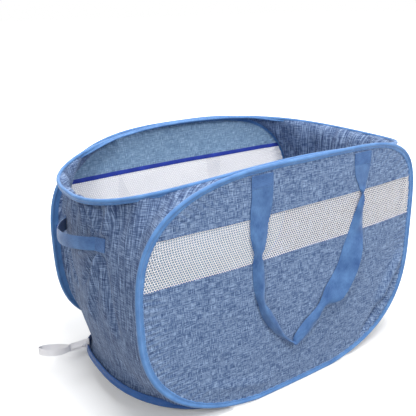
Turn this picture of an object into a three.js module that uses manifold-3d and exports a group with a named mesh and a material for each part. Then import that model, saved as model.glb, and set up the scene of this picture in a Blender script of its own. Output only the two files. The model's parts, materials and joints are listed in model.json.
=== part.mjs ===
// Pop up laundry hamper: four spring wire loops in sewn bindings, with fabric and net between them.
// Units are millimetres. X runs along the width, the front panel faces -Y, and +Z is up.
// The origin is under the middle of the whole hamper, on the surface that it stands on.
import * as THREE from 'three';
import Module from 'manifold-3d';
import { mergeVertices } from 'three/addons/utils/BufferGeometryUtils.js';

const wasm = await Module();
wasm.setup();

// Wire frame, measured between the centres of the wires
const WIDTH = 555;
const HEIGHT = 389;
const DEPTH = 356;
const LEAN = 2.3; // the mouth sits this far behind the middle, and the floor as far in front
const PANEL_BOW = 10.4; // how far the end of each long panel is pulled in by the end fabric
const RIM_FLARE_LEFT = 21; // how far the mouth loop reaches beyond the long panels
const RIM_FLARE_RIGHT = 44.5;
const RIM_DROOP_LEFT = 39.7;
const RIM_DROOP_RIGHT = 34.1;
const BASE_FLARE = 0.5; // how far the floor loop reaches beyond the long panels
const BASE_RISE = 38; // the ends of the floor loop stand this high
const FLAT_DROP = 3; // what is cut off the loops' lowest stretch, so that the hamper stands flat

// Roundness of each loop's corners, as superellipse powers
const FRONT_POWERS = { topRight: 4.88, topLeft: 3.05, bottomLeft: 2.54, bottomRight: 2.71 };
const BACK_POWERS = { topRight: 2.99, topLeft: 2.99, bottomLeft: 3.05, bottomRight: 3.05 };
const RIM_POWERS = { topRight: 3.19, topLeft: 2.59, bottomLeft: 2.59, bottomRight: 3.19 };
const BASE_POWERS = { topRight: 2.7, topLeft: 2.7, bottomLeft: 2.7, bottomRight: 2.7 };
const RISE_POWER = 3;

// Binding tape and wire
const BEAD_RADIUS = 3.1;
const TAPE = 0.8;
const BINDING_LEG = 11; // from the wire to the edge of the tape
const SLOT = 1.6; // the space between the two sides of the tape
const WIRE_RADIUS = 1;
const SLEEVE_WALL = 0.35;
const SLEEVE_LENGTH = 18;
const CLEARANCE = 0.3;
const BEAD_PITCH = 8.4; // wire to wire where two loops are sewn side by side

// Fabric
const FABRIC = 1;
const EDGE_COVER = 6.5; // how much of each fabric edge the binding covers
const FRONT_NET_DROP = 74; // from the mouth down to the net
const BACK_NET_DROP = 82;
const NET_HEIGHT = 70.5;
const NET_BAR = 5; // width of the cords between two gaps of the net
const NET_COLUMNS = 27;
const NET_ROWS = 3;
const SEAM_TAPE_HEIGHT = 8;
const SEAM_TAPE = 0.8;
const GUSSET_BULGE = 6; // how far the end fabric stands out in its middle

// Carrying handles, given for the front panel and turned half round for the back one
const STRAP = 1.6;
const STRAP_WIDTH = 38;
const FRONT_TAIL_DROP = 30; // from the mouth down to the fold that the strap swings on
const BACK_TAIL_DROP = 39;
const HANDLE_LEFT = -75;
const HANDLE_RIGHT = 132;
const HANDLE_RAISE = 108; // how much less than the height each handle hangs down
const HANDLE_CURL = 11; // how far the twisted strap stands off the panel where it is widest

// End grips and the tie
const GRIP_DROP = 118.5; // from the mouth down to the grips
const GRIP_WIDTH = 21;
const GRIP_SPAN = 160; // between the sewn ends
const GRIP_CENTRE = 28;
const GRIP_BULGE = 22;
const GRIP_PATCH = 24;
const GRIP_TILT = 23; // the end towards the back is sewn lower by this much
const TIE_WIDTH = 7;
const TIE_BAND = 1.2;
const TIE_TAIL = 29.5; // from the wire to where the elastic opens into its loop
const TIE_LOOP = 54;
const TIE_LOOP_WIDTH = 26;
const TIE_DEPTH = 62; // how far behind the middle it is sewn in
const TIE_SAG = 2;

const LOOP_STEPS = 40;
const PANEL_STEPS = 26;

const part = new THREE.Group();
const halfHeight = HEIGHT / 2;
const rimLeft = WIDTH / 2 + RIM_FLARE_LEFT;
const rimRight = WIDTH / 2 + RIM_FLARE_RIGHT;
const baseReach = WIDTH / 2 + BASE_FLARE;
const handleDrop = HEIGHT - HANDLE_RAISE;

const blue = { color: 0x5d87bd, roughness: 0.6, metalness: 0 };
const tapeBlue = { color: 0x4f7dbb, roughness: 0.55, metalness: 0 };
const denim = { color: 0x5f7da6, roughness: 0.9, metalness: 0 };
const royal = { color: 0x2c46ab, roughness: 0.6, metalness: 0 };
const netWhite = { color: 0xd6d6da, roughness: 0.8, metalness: 0 };
const white = { color: 0xf0f0f2, roughness: 0.7, metalness: 0 };
const steel = { color: 0xb8bcc0, roughness: 0.3, metalness: 1 };

function addPart(name, geometry, look) {
  const mesh = new THREE.Mesh(geometry, new THREE.MeshStandardMaterial(look));
  mesh.name = name;
  part.add(mesh);
  return mesh;
}

// A closed body from corner points and triangles, turned so that its faces point out
function closedBody(points, triangles) {
  let volume = 0;
  const normal = new THREE.Vector3();
  for (const [a, b, c] of triangles) {
    volume += points[a].dot(normal.crossVectors(points[b], points[c]));
  }
  const faces = volume < 0 ? triangles.map(([a, b, c]) => [a, c, b]) : triangles;
  const geometry = new THREE.BufferGeometry();
  geometry.setAttribute('position', new THREE.Float32BufferAttribute(points.flatMap((p) => p.toArray()), 3));
  geometry.setIndex(faces.flat());
  return geometry;
}

function signedPower(value, power) {
  return Math.sign(value) * Math.abs(value) ** (2 / power);
}

// Power of the corner that a point of a loop belongs to
function cornerPower(powers, right, top) {
  if (top) {
    return right ? powers.topRight : powers.topLeft;
  }
  return right ? powers.bottomRight : powers.bottomLeft;
}

// Point of a unit superellipse at an angle, with its own power in each corner
function unitLoop(angle, powers) {
  const across = Math.cos(angle);
  const up = Math.sin(angle);
  const power = cornerPower(powers, across >= 0, up >= 0);
  return [signedPower(across, power), signedPower(up, power)];
}

// Height of a wire above the floor, from its height above the lowest point of an uncut loop
function restLevel(height) {
  return Math.max(height, FLAT_DROP) - FLAT_DROP + BEAD_RADIUS;
}

// Depth of the middle plane of a long panel; side is -1 for the front and 1 for the back
function panelY(side, x, z) {
  const share = (z - BEAD_RADIUS) / halfHeight - 1;
  return side * (DEPTH / 2 - PANEL_BOW * (x / (WIDTH / 2)) ** 2) + LEAN * share;
}

function panelLoop(side, powers) {
  return (angle) => {
    const [across, up] = unitLoop(angle, powers);
    const x = across * WIDTH / 2;
    const z = restLevel(halfHeight * (1 + up));
    return new THREE.Vector3(x, panelY(side, x, z), z);
  };
}

function rimHeight(x) {
  const droop = x < 0 ? RIM_DROOP_LEFT * (x / rimLeft) ** 2 : RIM_DROOP_RIGHT * (x / rimRight) ** 2;
  return restLevel(HEIGHT) - droop;
}

function baseHeight(x) {
  return restLevel(BASE_RISE * Math.abs(x / baseReach) ** RISE_POWER);
}

const lyingHalfDepth = DEPTH / 2 - BEAD_PITCH;

function rimLoop(angle) {
  const [across, back] = unitLoop(angle, RIM_POWERS);
  const x = across * (across < 0 ? rimLeft : rimRight);
  return new THREE.Vector3(x, LEAN + back * lyingHalfDepth, rimHeight(x));
}

function baseLoop(angle) {
  const [across, back] = unitLoop(angle, BASE_POWERS);
  const x = across * baseReach;
  return new THREE.Vector3(x, back * lyingHalfDepth - LEAN, baseHeight(x));
}

// Steps round a loop that are closer where it bends, starting half a step after the angle given
function sampleLoop(loop, start, count) {
  const fine = 1440;
  const bendShare = 0.1; // a turn of one radian counts as this share of the width
  const points = [];
  for (let i = 0; i <= fine; i += 1) {
    points.push(loop(start + (i / fine) * Math.PI * 2));
  }
  const reach = [0];
  const last = points[1].clone().sub(points[0]);
  const next = new THREE.Vector3();
  for (let i = 0; i < fine; i += 1) {
    next.subVectors(points[i + 1], points[i]);
    reach.push(reach[i] + next.length() + bendShare * WIDTH * next.angleTo(last));
    last.copy(next);
  }
  const samples = [];
  let at = 0;
  for (let k = 0; k < count; k += 1) {
    const target = ((k + 0.5) / count) * reach[fine];
    while (reach[at + 1] < target) {
      at += 1;
    }
    const share = (target - reach[at]) / (reach[at + 1] - reach[at]);
    samples.push(points[at].clone().lerp(points[at + 1], share));
  }
  return samples;
}

// Frame of each step of a loop: along it, towards the tape's edge, and across the tape
function loopFrames(samples, legAt) {
  return samples.map((point, i) => {
    const before = samples[(i + samples.length - 1) % samples.length];
    const after = samples[(i + 1) % samples.length];
    const along = after.clone().sub(before).normalize();
    const leg = legAt(point);
    leg.addScaledVector(along, -leg.dot(along)).normalize();
    return { point, along, leg, across: along.clone().cross(leg) };
  });
}

// Outline carried round a loop; each outline point is [towards the tape's edge, across the tape]
function sweepLoop(frames, outline) {
  const points = [];
  const triangles = [];
  const sides = outline.length;
  for (const { point, leg, across } of frames) {
    for (const [out, over] of outline) {
      points.push(point.clone().addScaledVector(leg, out).addScaledVector(across, over));
    }
  }
  for (let i = 0; i < frames.length; i += 1) {
    const j = (i + 1) % frames.length;
    for (let k = 0; k < sides; k += 1) {
      const m = (k + 1) % sides;
      const [a, b, c, d] = [i * sides + k, j * sides + k, j * sides + m, i * sides + m];
      // Both faces of a thin wall are split the same way, so that they stay apart where it twists
      if (outline[k][0] < outline[m][0]) {
        triangles.push([a, b, c], [a, c, d]);
      } else {
        triangles.push([a, b, d], [b, c, d]);
      }
    }
  }
  return closedBody(points, triangles);
}

// Tape folded round the wire: a bead with two sides that hold the fabric's edge
function bindingOutline() {
  const shoulder = BEAD_RADIUS / 2;
  const bore = BEAD_RADIUS - TAPE;
  const boreShoulder = bore / 2.2;
  const lip = SLOT / 2;
  const half = [
    [BINDING_LEG, lip],
    [BINDING_LEG, lip + TAPE],
    [shoulder, BEAD_RADIUS],
    [-shoulder, BEAD_RADIUS],
  ];
  const inner = [
    [-boreShoulder, bore],
    [boreShoulder, bore],
    [bore, lip],
  ];
  const mirrored = (list) => [...list].reverse().map(([out, over]) => [out, -over]);
  return [...half, [-BEAD_RADIUS, 0], ...mirrored(half), ...mirrored(inner), [-bore, 0], ...inner];
}

// The binding as one filled bar, larger by a clearance, for cutting what is sewn against it
function bindingSpace() {
  const grown = BEAD_RADIUS + CLEARANCE;
  const edge = SLOT / 2 + TAPE + CLEARANCE;
  const shoulder = grown / 2;
  return [
    [BINDING_LEG + CLEARANCE, edge],
    [shoulder, grown],
    [-shoulder, grown],
    [-grown, 0],
    [-shoulder, -grown],
    [shoulder, -grown],
    [BINDING_LEG + CLEARANCE, -edge],
  ];
}

function ringOutline(radius, sides) {
  const outline = [];
  for (let k = 0; k < sides; k += 1) {
    const angle = (k / sides) * Math.PI * 2;
    outline.push([radius * Math.cos(angle), radius * Math.sin(angle)]);
  }
  return outline;
}

// Crimped sleeve on the straight step between a loop's last and first samples
function sleeveGeometry(frames) {
  const from = frames[frames.length - 1].point;
  const to = frames[0].point;
  const sides = 6;
  const bore = (WIRE_RADIUS + CLEARANCE) / Math.cos(Math.PI / sides);
  const outline = (radius) => ringOutline(radius, sides).map(([u, v]) => new THREE.Vector2(u, v));
  const shape = new THREE.Shape(outline(bore + SLEEVE_WALL));
  shape.holes.push(new THREE.Path(outline(bore)));
  const geometry = new THREE.ExtrudeGeometry(shape, { depth: SLEEVE_LENGTH, bevelEnabled: false });
  geometry.translate(0, 0, -SLEEVE_LENGTH / 2);
  const along = to.clone().sub(from).normalize();
  geometry.applyQuaternion(new THREE.Quaternion().setFromUnitVectors(new THREE.Vector3(0, 0, 1), along));
  const middle = from.clone().add(to).multiplyScalar(0.5);
  return geometry.translate(middle.x, middle.y, middle.z);
}

function addLoop(name, loop, start, legAt) {
  const frames = loopFrames(sampleLoop(loop, start, LOOP_STEPS), legAt);
  addPart(`${name}_binding`, sweepLoop(frames, bindingOutline()), tapeBlue);
  addPart(`${name}_wire`, sweepLoop(frames, ringOutline(WIRE_RADIUS, 6)), steel);
  addPart(`${name}_wire_sleeve`, sleeveGeometry(frames), steel);
  return sweepLoop(frames, bindingSpace());
}

// Sheet of cloth on a grid: at(u, v) gives its middle surface, and holes(i, j) leaves a cell out
function sheet(columns, rows, at, thickness, holes = () => false) {
  const points = [];
  const triangles = [];
  const stride = rows + 1;
  const count = (columns + 1) * stride;
  const grid = [];
  for (let i = 0; i <= columns; i += 1) {
    for (let j = 0; j <= rows; j += 1) {
      grid.push(at(i, j));
    }
  }
  const place = (i, j) => grid[i * stride + j];
  for (let i = 0; i <= columns; i += 1) {
    for (let j = 0; j <= rows; j += 1) {
      const du = place(Math.min(i + 1, columns), j).clone().sub(place(Math.max(i - 1, 0), j));
      const dv = place(i, Math.min(j + 1, rows)).clone().sub(place(i, Math.max(j - 1, 0)));
      const lift = du.cross(dv).normalize().multiplyScalar(thickness / 2);
      points[i * stride + j] = place(i, j).clone().add(lift);
      points[count + i * stride + j] = place(i, j).clone().sub(lift);
    }
  }
  const solid = (i, j) => i >= 0 && j >= 0 && i < columns && j < rows && !holes(i, j);
  const wall = (a, b) => triangles.push([a, a + count, b + count], [a, b + count, b]);
  const used = new Set();
  for (let i = 0; i < columns; i += 1) {
    for (let j = 0; j < rows; j += 1) {
      if (solid(i, j)) {
        const [a, b] = [i * stride + j, (i + 1) * stride + j];
        const [c, d] = [b + 1, a + 1];
        triangles.push([a, b, c], [a, c, d], [a + count, c + count, b + count]);
        triangles.push([a + count, d + count, c + count]);
        if (!solid(i, j - 1)) {
          wall(a, b);
        }
        if (!solid(i + 1, j)) {
          wall(b, c);
        }
        if (!solid(i, j + 1)) {
          wall(c, d);
        }
        if (!solid(i - 1, j)) {
          wall(d, a);
        }
      }
    }
  }
  triangles.forEach((triangle) => triangle.forEach((corner) => used.add(corner)));
  const order = [...used].sort((a, b) => a - b);
  const renamed = new Map(order.map((corner, index) => [corner, index]));
  return closedBody(
    order.map((corner) => points[corner]),
    triangles.map((triangle) => triangle.map((corner) => renamed.get(corner))),
  );
}

const between = (low, high, share) => low + (high - low) * share;

// Edge of a long panel's fabric: the loop drawn in by an inset
const edgeInset = BINDING_LEG - EDGE_COVER;

function edgeZ(powers, x, inset, top) {
  const share = Math.min(Math.abs(x) / (WIDTH / 2 - inset), 1);
  const power = cornerPower(powers, x >= 0, top);
  const bulge = (halfHeight - inset) * (1 - share ** power) ** (1 / power);
  const height = halfHeight + (top ? bulge : -bulge);
  return Math.max(height, FLAT_DROP + inset) - FLAT_DROP + BEAD_RADIUS;
}

function edgeX(powers, z, inset, right) {
  const rise = z - BEAD_RADIUS + FLAT_DROP - halfHeight;
  const power = cornerPower(powers, right, rise >= 0);
  const share = Math.min(Math.abs(rise) / (halfHeight - inset), 1);
  const reach = (WIDTH / 2 - inset) * (1 - share ** power) ** (1 / power);
  return right ? reach : -reach;
}

// Fabric of a long panel between two heights, which the loop's edge may cut short
function panelCloth(side, powers, low, high) {
  const shortest = EDGE_COVER;
  const room = (x) => Math.min(high, edgeZ(powers, x, edgeInset, true))
    - Math.max(low, edgeZ(powers, x, edgeInset, false));
  const reach = (right) => {
    let inside = 0;
    let outside = right ? WIDTH / 2 - edgeInset : edgeInset - WIDTH / 2;
    for (let k = 0; k < 30; k += 1) {
      const middle = (inside + outside) / 2;
      if (room(middle) > shortest) {
        inside = middle;
      } else {
        outside = middle;
      }
    }
    return inside;
  };
  const [left, right] = [reach(false), reach(true)];
  const spread = (share) => Math.sin((share - 0.5) * Math.PI) / 2 + 0.5;
  return sheet(PANEL_STEPS, 1, (i, j) => {
    const x = between(left, right, spread(i / PANEL_STEPS));
    const z = j === 0
      ? Math.max(low, edgeZ(powers, x, edgeInset, false))
      : Math.min(high, edgeZ(powers, x, edgeInset, true));
    return new THREE.Vector3(x, panelY(side, x, z), z);
  }, FABRIC);
}

// Flat net with rectangular gaps; its cords run between even gaps
function panelNet(side, powers, low, high) {
  const columnPitch = (WIDTH - NET_BAR) / NET_COLUMNS;
  const rowPitch = (high - low - NET_BAR) / NET_ROWS;
  const rowAt = (j) => low + Math.floor(j / 2) * rowPitch + (j % 2) * NET_BAR;
  const shareAt = (i) => (Math.floor(i / 2) * columnPitch + (i % 2) * NET_BAR) / WIDTH;
  return sheet(2 * NET_COLUMNS + 1, 2 * NET_ROWS + 1, (i, j) => {
    const z = rowAt(j);
    const left = edgeX(powers, z, edgeInset, false);
    const right = edgeX(powers, z, edgeInset, true);
    const x = between(left, right, shareAt(i));
    return new THREE.Vector3(x, panelY(side, x, z), z);
  }, FABRIC, (i, j) => i % 2 === 1 && j % 2 === 1);
}

// Tape along a seam on the panel's inner face, between the sides of the binding
function seamTape(side, powers, height) {
  const inset = BINDING_LEG + CLEARANCE + 2 * TAPE;
  const low = height - SEAM_TAPE_HEIGHT / 2;
  const left = edgeX(powers, height, inset, false);
  const right = edgeX(powers, height, inset, true);
  const inward = FABRIC / 2 + CLEARANCE + SEAM_TAPE / 2;
  return sheet(PANEL_STEPS / 2, 1, (i, j) => {
    const x = between(left, right, i / (PANEL_STEPS / 2));
    const z = low + j * SEAM_TAPE_HEIGHT;
    return new THREE.Vector3(x, panelY(side, x, z) - side * inward, z);
  }, SEAM_TAPE);
}

function addPanel(name, side, powers, netTop) {
  const netLow = netTop - NET_HEIGHT;
  const seam = CLEARANCE / 2;
  addPart(`${name}_upper_fabric`, panelCloth(side, powers, netTop + seam, HEIGHT + BEAD_RADIUS), denim);
  addPart(`${name}_net_band`, panelNet(side, powers, netLow + seam, netTop - seam), netWhite);
  addPart(`${name}_lower_fabric`, panelCloth(side, powers, 0, netLow - seam), denim);
  addPart(`${name}_upper_seam_tape`, seamTape(side, powers, netTop), royal);
  addPart(`${name}_lower_seam_tape`, seamTape(side, powers, netLow), royal);
}

function floorPanel() {
  const reach = baseReach - edgeInset;
  const depth = lyingHalfDepth - edgeInset;
  const power = BASE_POWERS.topLeft;
  const widest = reach * (1 - (EDGE_COVER / depth) ** power) ** (1 / power);
  return sheet(PANEL_STEPS, 1, (i, j) => {
    const x = widest * Math.sin((i / PANEL_STEPS - 0.5) * Math.PI);
    const y = depth * (1 - (Math.abs(x) / reach) ** power) ** (1 / power);
    return new THREE.Vector3(x, (j === 0 ? -y : y) - LEAN, baseHeight(x));
  }, FABRIC);
}

// End fabric between the four end arcs. Each arc pulls a point by one over its distance squared
function gussetPoint(side, across, up) {
  const startShare = 0.62; // where along the loops the end fabric begins
  const turn = Math.acos(startShare ** (BACK_POWERS.topLeft / 2));
  const arc = (loop, share) => {
    const swing = between(-turn, turn, share);
    return loop(side < 0 ? Math.PI - swing : swing);
  };
  const frontArc = arc(panelLoop(-1, FRONT_POWERS), up);
  const backArc = arc(panelLoop(1, BACK_POWERS), up);
  const floorArc = arc(baseLoop, across);
  const rimArc = arc(rimLoop, across);
  const pulls = [[frontArc, across], [backArc, 1 - across], [floorArc, up], [rimArc, 1 - up]];
  const sum = new THREE.Vector3();
  let total = 0;
  for (const [point, distance] of pulls) {
    const pull = 1 / distance ** 2;
    sum.addScaledVector(point, pull);
    total += pull;
  }
  sum.divideScalar(total);
  const bulge = 16 * across * (1 - across) * up * (1 - up);
  sum.x += side * GUSSET_BULGE * bulge;
  return sum;
}

function toManifold(geometry) {
  const bare = new THREE.BufferGeometry();
  bare.setAttribute('position', geometry.getAttribute('position'));
  bare.setIndex(geometry.getIndex());
  const merged = mergeVertices(bare);
  const mesh = new wasm.Mesh({
    numProp: 3,
    vertProperties: new Float32Array(merged.getAttribute('position').array),
    triVerts: new Uint32Array(merged.getIndex().array),
  });
  return new wasm.Manifold(mesh);
}

function fromManifold(solid) {
  const mesh = solid.getMesh();
  const geometry = new THREE.BufferGeometry();
  geometry.setAttribute('position', new THREE.BufferAttribute(new Float32Array(mesh.vertProperties), 3));
  geometry.setIndex([...mesh.triVerts]);
  return geometry;
}

// What is left of a cloth between the bindings, as one piece
function trimmed(geometry, spaces) {
  let cloth = toManifold(geometry);
  for (const space of spaces) {
    cloth = cloth.subtract(toManifold(space));
  }
  const pieces = cloth.decompose().sort((a, b) => b.volume() - a.volume());
  return fromManifold(pieces[0]);
}

function gussetSheet(side, thickness) {
  const steps = 14;
  const margin = 0.03;
  const share = (i) => between(margin, 1 - margin, i / steps);
  return sheet(steps, steps, (i, j) => gussetPoint(side, share(i), share(j)), thickness);
}

// Middle line of the front handle from one fold to the other:
// [across from the left fold, up from the lowest point, twist in degrees, share of the width]
const handleSpan = HANDLE_RIGHT - HANDLE_LEFT;
const handleShares = [
  [0, 1, 0, 1], [0, 0.93, 0, 1], [0, 0.85, 0, 0.92], [-0.02, 0.75, 50, 0.8], [-0.035, 0.64, 65, 0.6],
  [-0.025, 0.55, 60, 0.65], [-0.01, 0.42, 60, 0.65], [0.015, 0.33, 60, 0.6], [0.08, 0.2, 55, 0.6],
  [0.2, 0.1, 45, 0.65], [0.34, 0.03, 50, 0.7], [0.41, 0.012, 75, 0.7], [0.48, 0.04, 120, 0.7],
  [0.56, 0.1, 125, 0.7], [0.655, 0.22, 130, 0.62], [0.72, 0.29, 155, 0.9], [0.79, 0.37, 180, 1],
  [0.88, 0.5, 180, 1], [0.96, 0.62, 180, 0.9], [1.02, 0.72, 215, 0.65], [1.04, 0.785, 270, 0.5],
  [1.035, 0.85, 360, 0.6], [1, 0.93, 360, 0.85], [1, 1, 360, 1],
];

// Distance from a long panel's middle plane to the middle of a strap that lies on it
const strapSeat = FABRIC / 2 + CLEARANCE + STRAP / 2;

// A handle hangs on its panel's outer face; a half turn about Z makes the back one
function handleGeometry(side, fold) {
  const low = fold - CLEARANCE - handleDrop;
  const stations = handleShares.map(([across, up, twist, share]) => ({
    x: HANDLE_LEFT + across * handleSpan,
    z: low + up * handleDrop,
    twist: THREE.MathUtils.degToRad(twist),
    share,
  }));
  const last = stations.length - 1;
  return sheet(last, 1, (i, j) => {
    const here = stations[i];
    const before = stations[Math.max(i - 1, 0)];
    const after = stations[Math.min(i + 1, last)];
    const run = new THREE.Vector2(after.x - before.x, after.z - before.z).normalize();
    const offset = (j - 0.5) * here.share * STRAP_WIDTH * Math.cos(here.twist);
    const lift = (j - 0.5) * Math.sin(here.twist) + Math.abs(Math.sin(here.twist)) / 2;
    const x = -side * (here.x - run.y * offset);
    const z = here.z + run.x * offset;
    const out = Math.abs(panelY(side, x, z)) + strapSeat + here.share * HANDLE_CURL * lift;
    return new THREE.Vector3(x, side * out, z);
  }, STRAP);
}

// Handle and the stitched tails of its ends, which reach from the fold up to the binding
function addHandle(name, side, powers, fold) {
  for (const [label, x] of [['left', HANDLE_LEFT], ['right', HANDLE_RIGHT]]) {
    const outer = x + Math.sign(x) * STRAP_WIDTH / 2;
    const top = edgeZ(powers, -side * outer, BINDING_LEG + CLEARANCE, true);
    const tail = sheet(2, 2, (i, j) => {
      const across = -side * (x + (i / 2 - 0.5) * STRAP_WIDTH);
      const z = between(fold, top, j / 2);
      return new THREE.Vector3(across, panelY(side, across, z) + side * strapSeat, z);
    }, STRAP);
    addPart(`${name}_handle_tail_${label}`, tail, blue);
  }
  addPart(`${name}_handle`, handleGeometry(side, fold), blue);
}

// Outer face of the end fabric at a place given by depth and height
function gussetX(side, y, z) {
  let across = 0.5;
  let up = 0.5;
  const step = 0.01;
  for (let k = 0; k < 40; k += 1) {
    const here = gussetPoint(side, across, up);
    const du = gussetPoint(side, across + step, up).sub(here).divideScalar(step);
    const dv = gussetPoint(side, across, up + step).sub(here).divideScalar(step);
    const det = du.y * dv.z - dv.y * du.z;
    across += ((y - here.y) * dv.z - (z - here.z) * dv.y) / det;
    up += ((z - here.z) * du.y - (y - here.y) * du.z) / det;
    across = Math.min(Math.max(across, step), 1 - step);
    up = Math.min(Math.max(up, step), 1 - step);
  }
  return gussetPoint(side, across, up).x;
}

// Webbing grip that stands off the end fabric between two stitched patches
function addGrip(name, side) {
  const steps = 14;
  const heightAt = (y) => HEIGHT - GRIP_DROP - GRIP_TILT * (y - GRIP_CENTRE) / GRIP_SPAN;
  const wall = (y, z) => gussetX(side, y, z) + side * strapSeat;
  const patch = (from, to) => sheet(3, 2, (i, j) => {
    const y = between(from, to, i / 3);
    const z = heightAt(y) + (j / 2 - 0.5) * GRIP_WIDTH;
    return new THREE.Vector3(wall(y, z), y, z);
  }, STRAP);
  const low = GRIP_CENTRE - GRIP_SPAN / 2;
  const high = GRIP_CENTRE + GRIP_SPAN / 2;
  const fold = CLEARANCE + STRAP / 3;
  addPart(`${name}_grip_patch_front`, patch(low - fold - GRIP_PATCH, low - fold), blue);
  addPart(`${name}_grip_patch_rear`, patch(high + fold, high + fold + GRIP_PATCH), blue);
  const strap = sheet(steps, 1, (i, j) => {
    const share = i / steps;
    const y = between(low, high, share);
    const z = heightAt(y) + (j - 0.5) * GRIP_WIDTH;
    const arch = Math.sin(Math.PI * share) ** 0.8;
    return new THREE.Vector3(wall(y, z) + side * GRIP_BULGE * arch, y, z);
  }, STRAP);
  addPart(`${name}_grip`, strap, blue);
}

// Elastic loop that holds the folded hamper together, sewn on above the tape of the floor's left end
function addTie(spaces) {
  const half = TIE_LOOP / 2;
  const middle = TIE_TAIL + half;
  const outlineAt = (inset, from, to, count) => {
    const outline = [];
    for (let k = 0; k <= count; k += 1) {
      const angle = between(from, to, k / count);
      const across = (TIE_LOOP_WIDTH / 2 - inset) * Math.sin(angle);
      outline.push(new THREE.Vector2(middle - (half - inset) * Math.cos(angle), across));
    }
    return outline;
  };
  const mouth = Math.asin(2 * TIE_BAND / TIE_LOOP_WIDTH);
  const shape = new THREE.Shape([
    new THREE.Vector2(0, TIE_BAND),
    new THREE.Vector2(0, -TIE_BAND),
    new THREE.Vector2(TIE_TAIL / 2, -TIE_BAND),
    ...outlineAt(0, -mouth, mouth - 2 * Math.PI, 22),
    new THREE.Vector2(TIE_TAIL / 2, TIE_BAND),
  ]);
  shape.holes.push(new THREE.Path(outlineAt(TIE_BAND, 0, 2 * Math.PI, 20).slice(0, -1)));
  const geometry = new THREE.ExtrudeGeometry(shape, { depth: TIE_WIDTH, bevelEnabled: false });
  const places = geometry.getAttribute('position');
  for (let i = 0; i < places.count; i += 1) {
    const share = places.getX(i) / (TIE_TAIL + TIE_LOOP);
    places.setZ(i, places.getZ(i) - TIE_SAG * Math.sin(Math.PI * share) - TIE_WIDTH / 2);
  }
  const power = BASE_POWERS.topLeft;
  const reach = baseReach * (1 - (TIE_DEPTH / lyingHalfDepth) ** power) ** (1 / power);
  const slope = (reach / baseReach) ** (power - 1) / (TIE_DEPTH / lyingHalfDepth) ** (power - 1);
  const heading = Math.PI - Math.atan2(baseReach, lyingHalfDepth * slope);
  geometry.rotateZ(heading);
  geometry.translate(-reach, TIE_DEPTH - LEAN, baseHeight(reach) + BINDING_LEG + TIE_WIDTH / 2);
  addPart('tie_loop', trimmed(geometry, spaces), white);
}

// Directions from a wire to the edge of its tape, kept in the surface that the loop borders
function panelLeg(side) {
  return (point) => {
    const inward = new THREE.Vector3(-point.x, 0, halfHeight - point.z).setLength(BINDING_LEG);
    const [x, z] = [point.x + inward.x, point.z + inward.z];
    inward.y = panelY(side, x, z) - panelY(side, point.x, point.z);
    return inward;
  };
}

// The floor's tape lies flat along the long panels, and stands up against the end fabric
function floorLeg(point) {
  const inward = new THREE.Vector3(-point.x * lyingHalfDepth / baseReach, -LEAN - point.y, 0);
  inward.setLength(BINDING_LEG);
  inward.z = baseHeight(point.x + inward.x) - baseHeight(point.x);
  const raised = THREE.MathUtils.smoothstep(Math.abs(point.x) / baseReach, 0.45, 1);
  return inward.lerp(new THREE.Vector3(0, 0, BINDING_LEG), raised);
}

// The mouth's tape hangs down, and turns in where it runs along the back panel
function rimLeg(point) {
  const reach = point.x < 0 ? rimLeft : rimRight;
  const ended = THREE.MathUtils.smoothstep(Math.abs(point.x) / reach, 0.45, 0.85);
  const fronted = THREE.MathUtils.smoothstep((LEAN - point.y) / lyingHalfDepth, 0, 0.5);
  const down = Math.max(ended, fronted);
  const inward = new THREE.Vector3(-point.x * lyingHalfDepth / reach, LEAN - point.y, 0).normalize();
  return inward.multiplyScalar(1 - down).add(new THREE.Vector3(0, 0, -down));
}

const quarter = Math.PI / 2;
const spaces = [
  addLoop('base', baseLoop, -quarter, floorLeg),
  addLoop('front', panelLoop(-1, FRONT_POWERS), -quarter, panelLeg(-1)),
  addLoop('back', panelLoop(1, BACK_POWERS), -quarter, panelLeg(1)),
  addLoop('rim', rimLoop, quarter, rimLeg),
];
addPart('base_panel', trimmed(floorPanel(), [spaces[0]]), denim);
addPanel('front', -1, FRONT_POWERS, HEIGHT - FRONT_NET_DROP);
addPanel('back', 1, BACK_POWERS, HEIGHT - BACK_NET_DROP);
addPart('left_gusset', trimmed(gussetSheet(-1, FABRIC), spaces), denim);
addPart('right_gusset', trimmed(gussetSheet(1, FABRIC), spaces), denim);
addHandle('front', -1, FRONT_POWERS, HEIGHT - FRONT_TAIL_DROP);
addHandle('back', 1, BACK_POWERS, HEIGHT - BACK_TAIL_DROP);
addGrip('left', -1);
addGrip('right', 1);
addTie([spaces[0], gussetSheet(-1, FABRIC + 2 * CLEARANCE)]);

const box = new THREE.Box3().setFromObject(part, true);
const middle = box.getCenter(new THREE.Vector3());
part.position.set(-middle.x, -middle.y, -box.min.z);

export default part;
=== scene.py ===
"""Looks of a pop up laundry hamper: satin tapes on spring loops, heathered cloth, net, webbing and elastic.

Lengths are metres in the part's own frame. Shapes are worked out in the maker's frame, whose origin lies
under the middle of the long panels, and moved by ORIGIN when they are put into a mesh.
"""
import json
import math

import bmesh
import bpy
import numpy as np
from mathutils import Matrix, Vector


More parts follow.
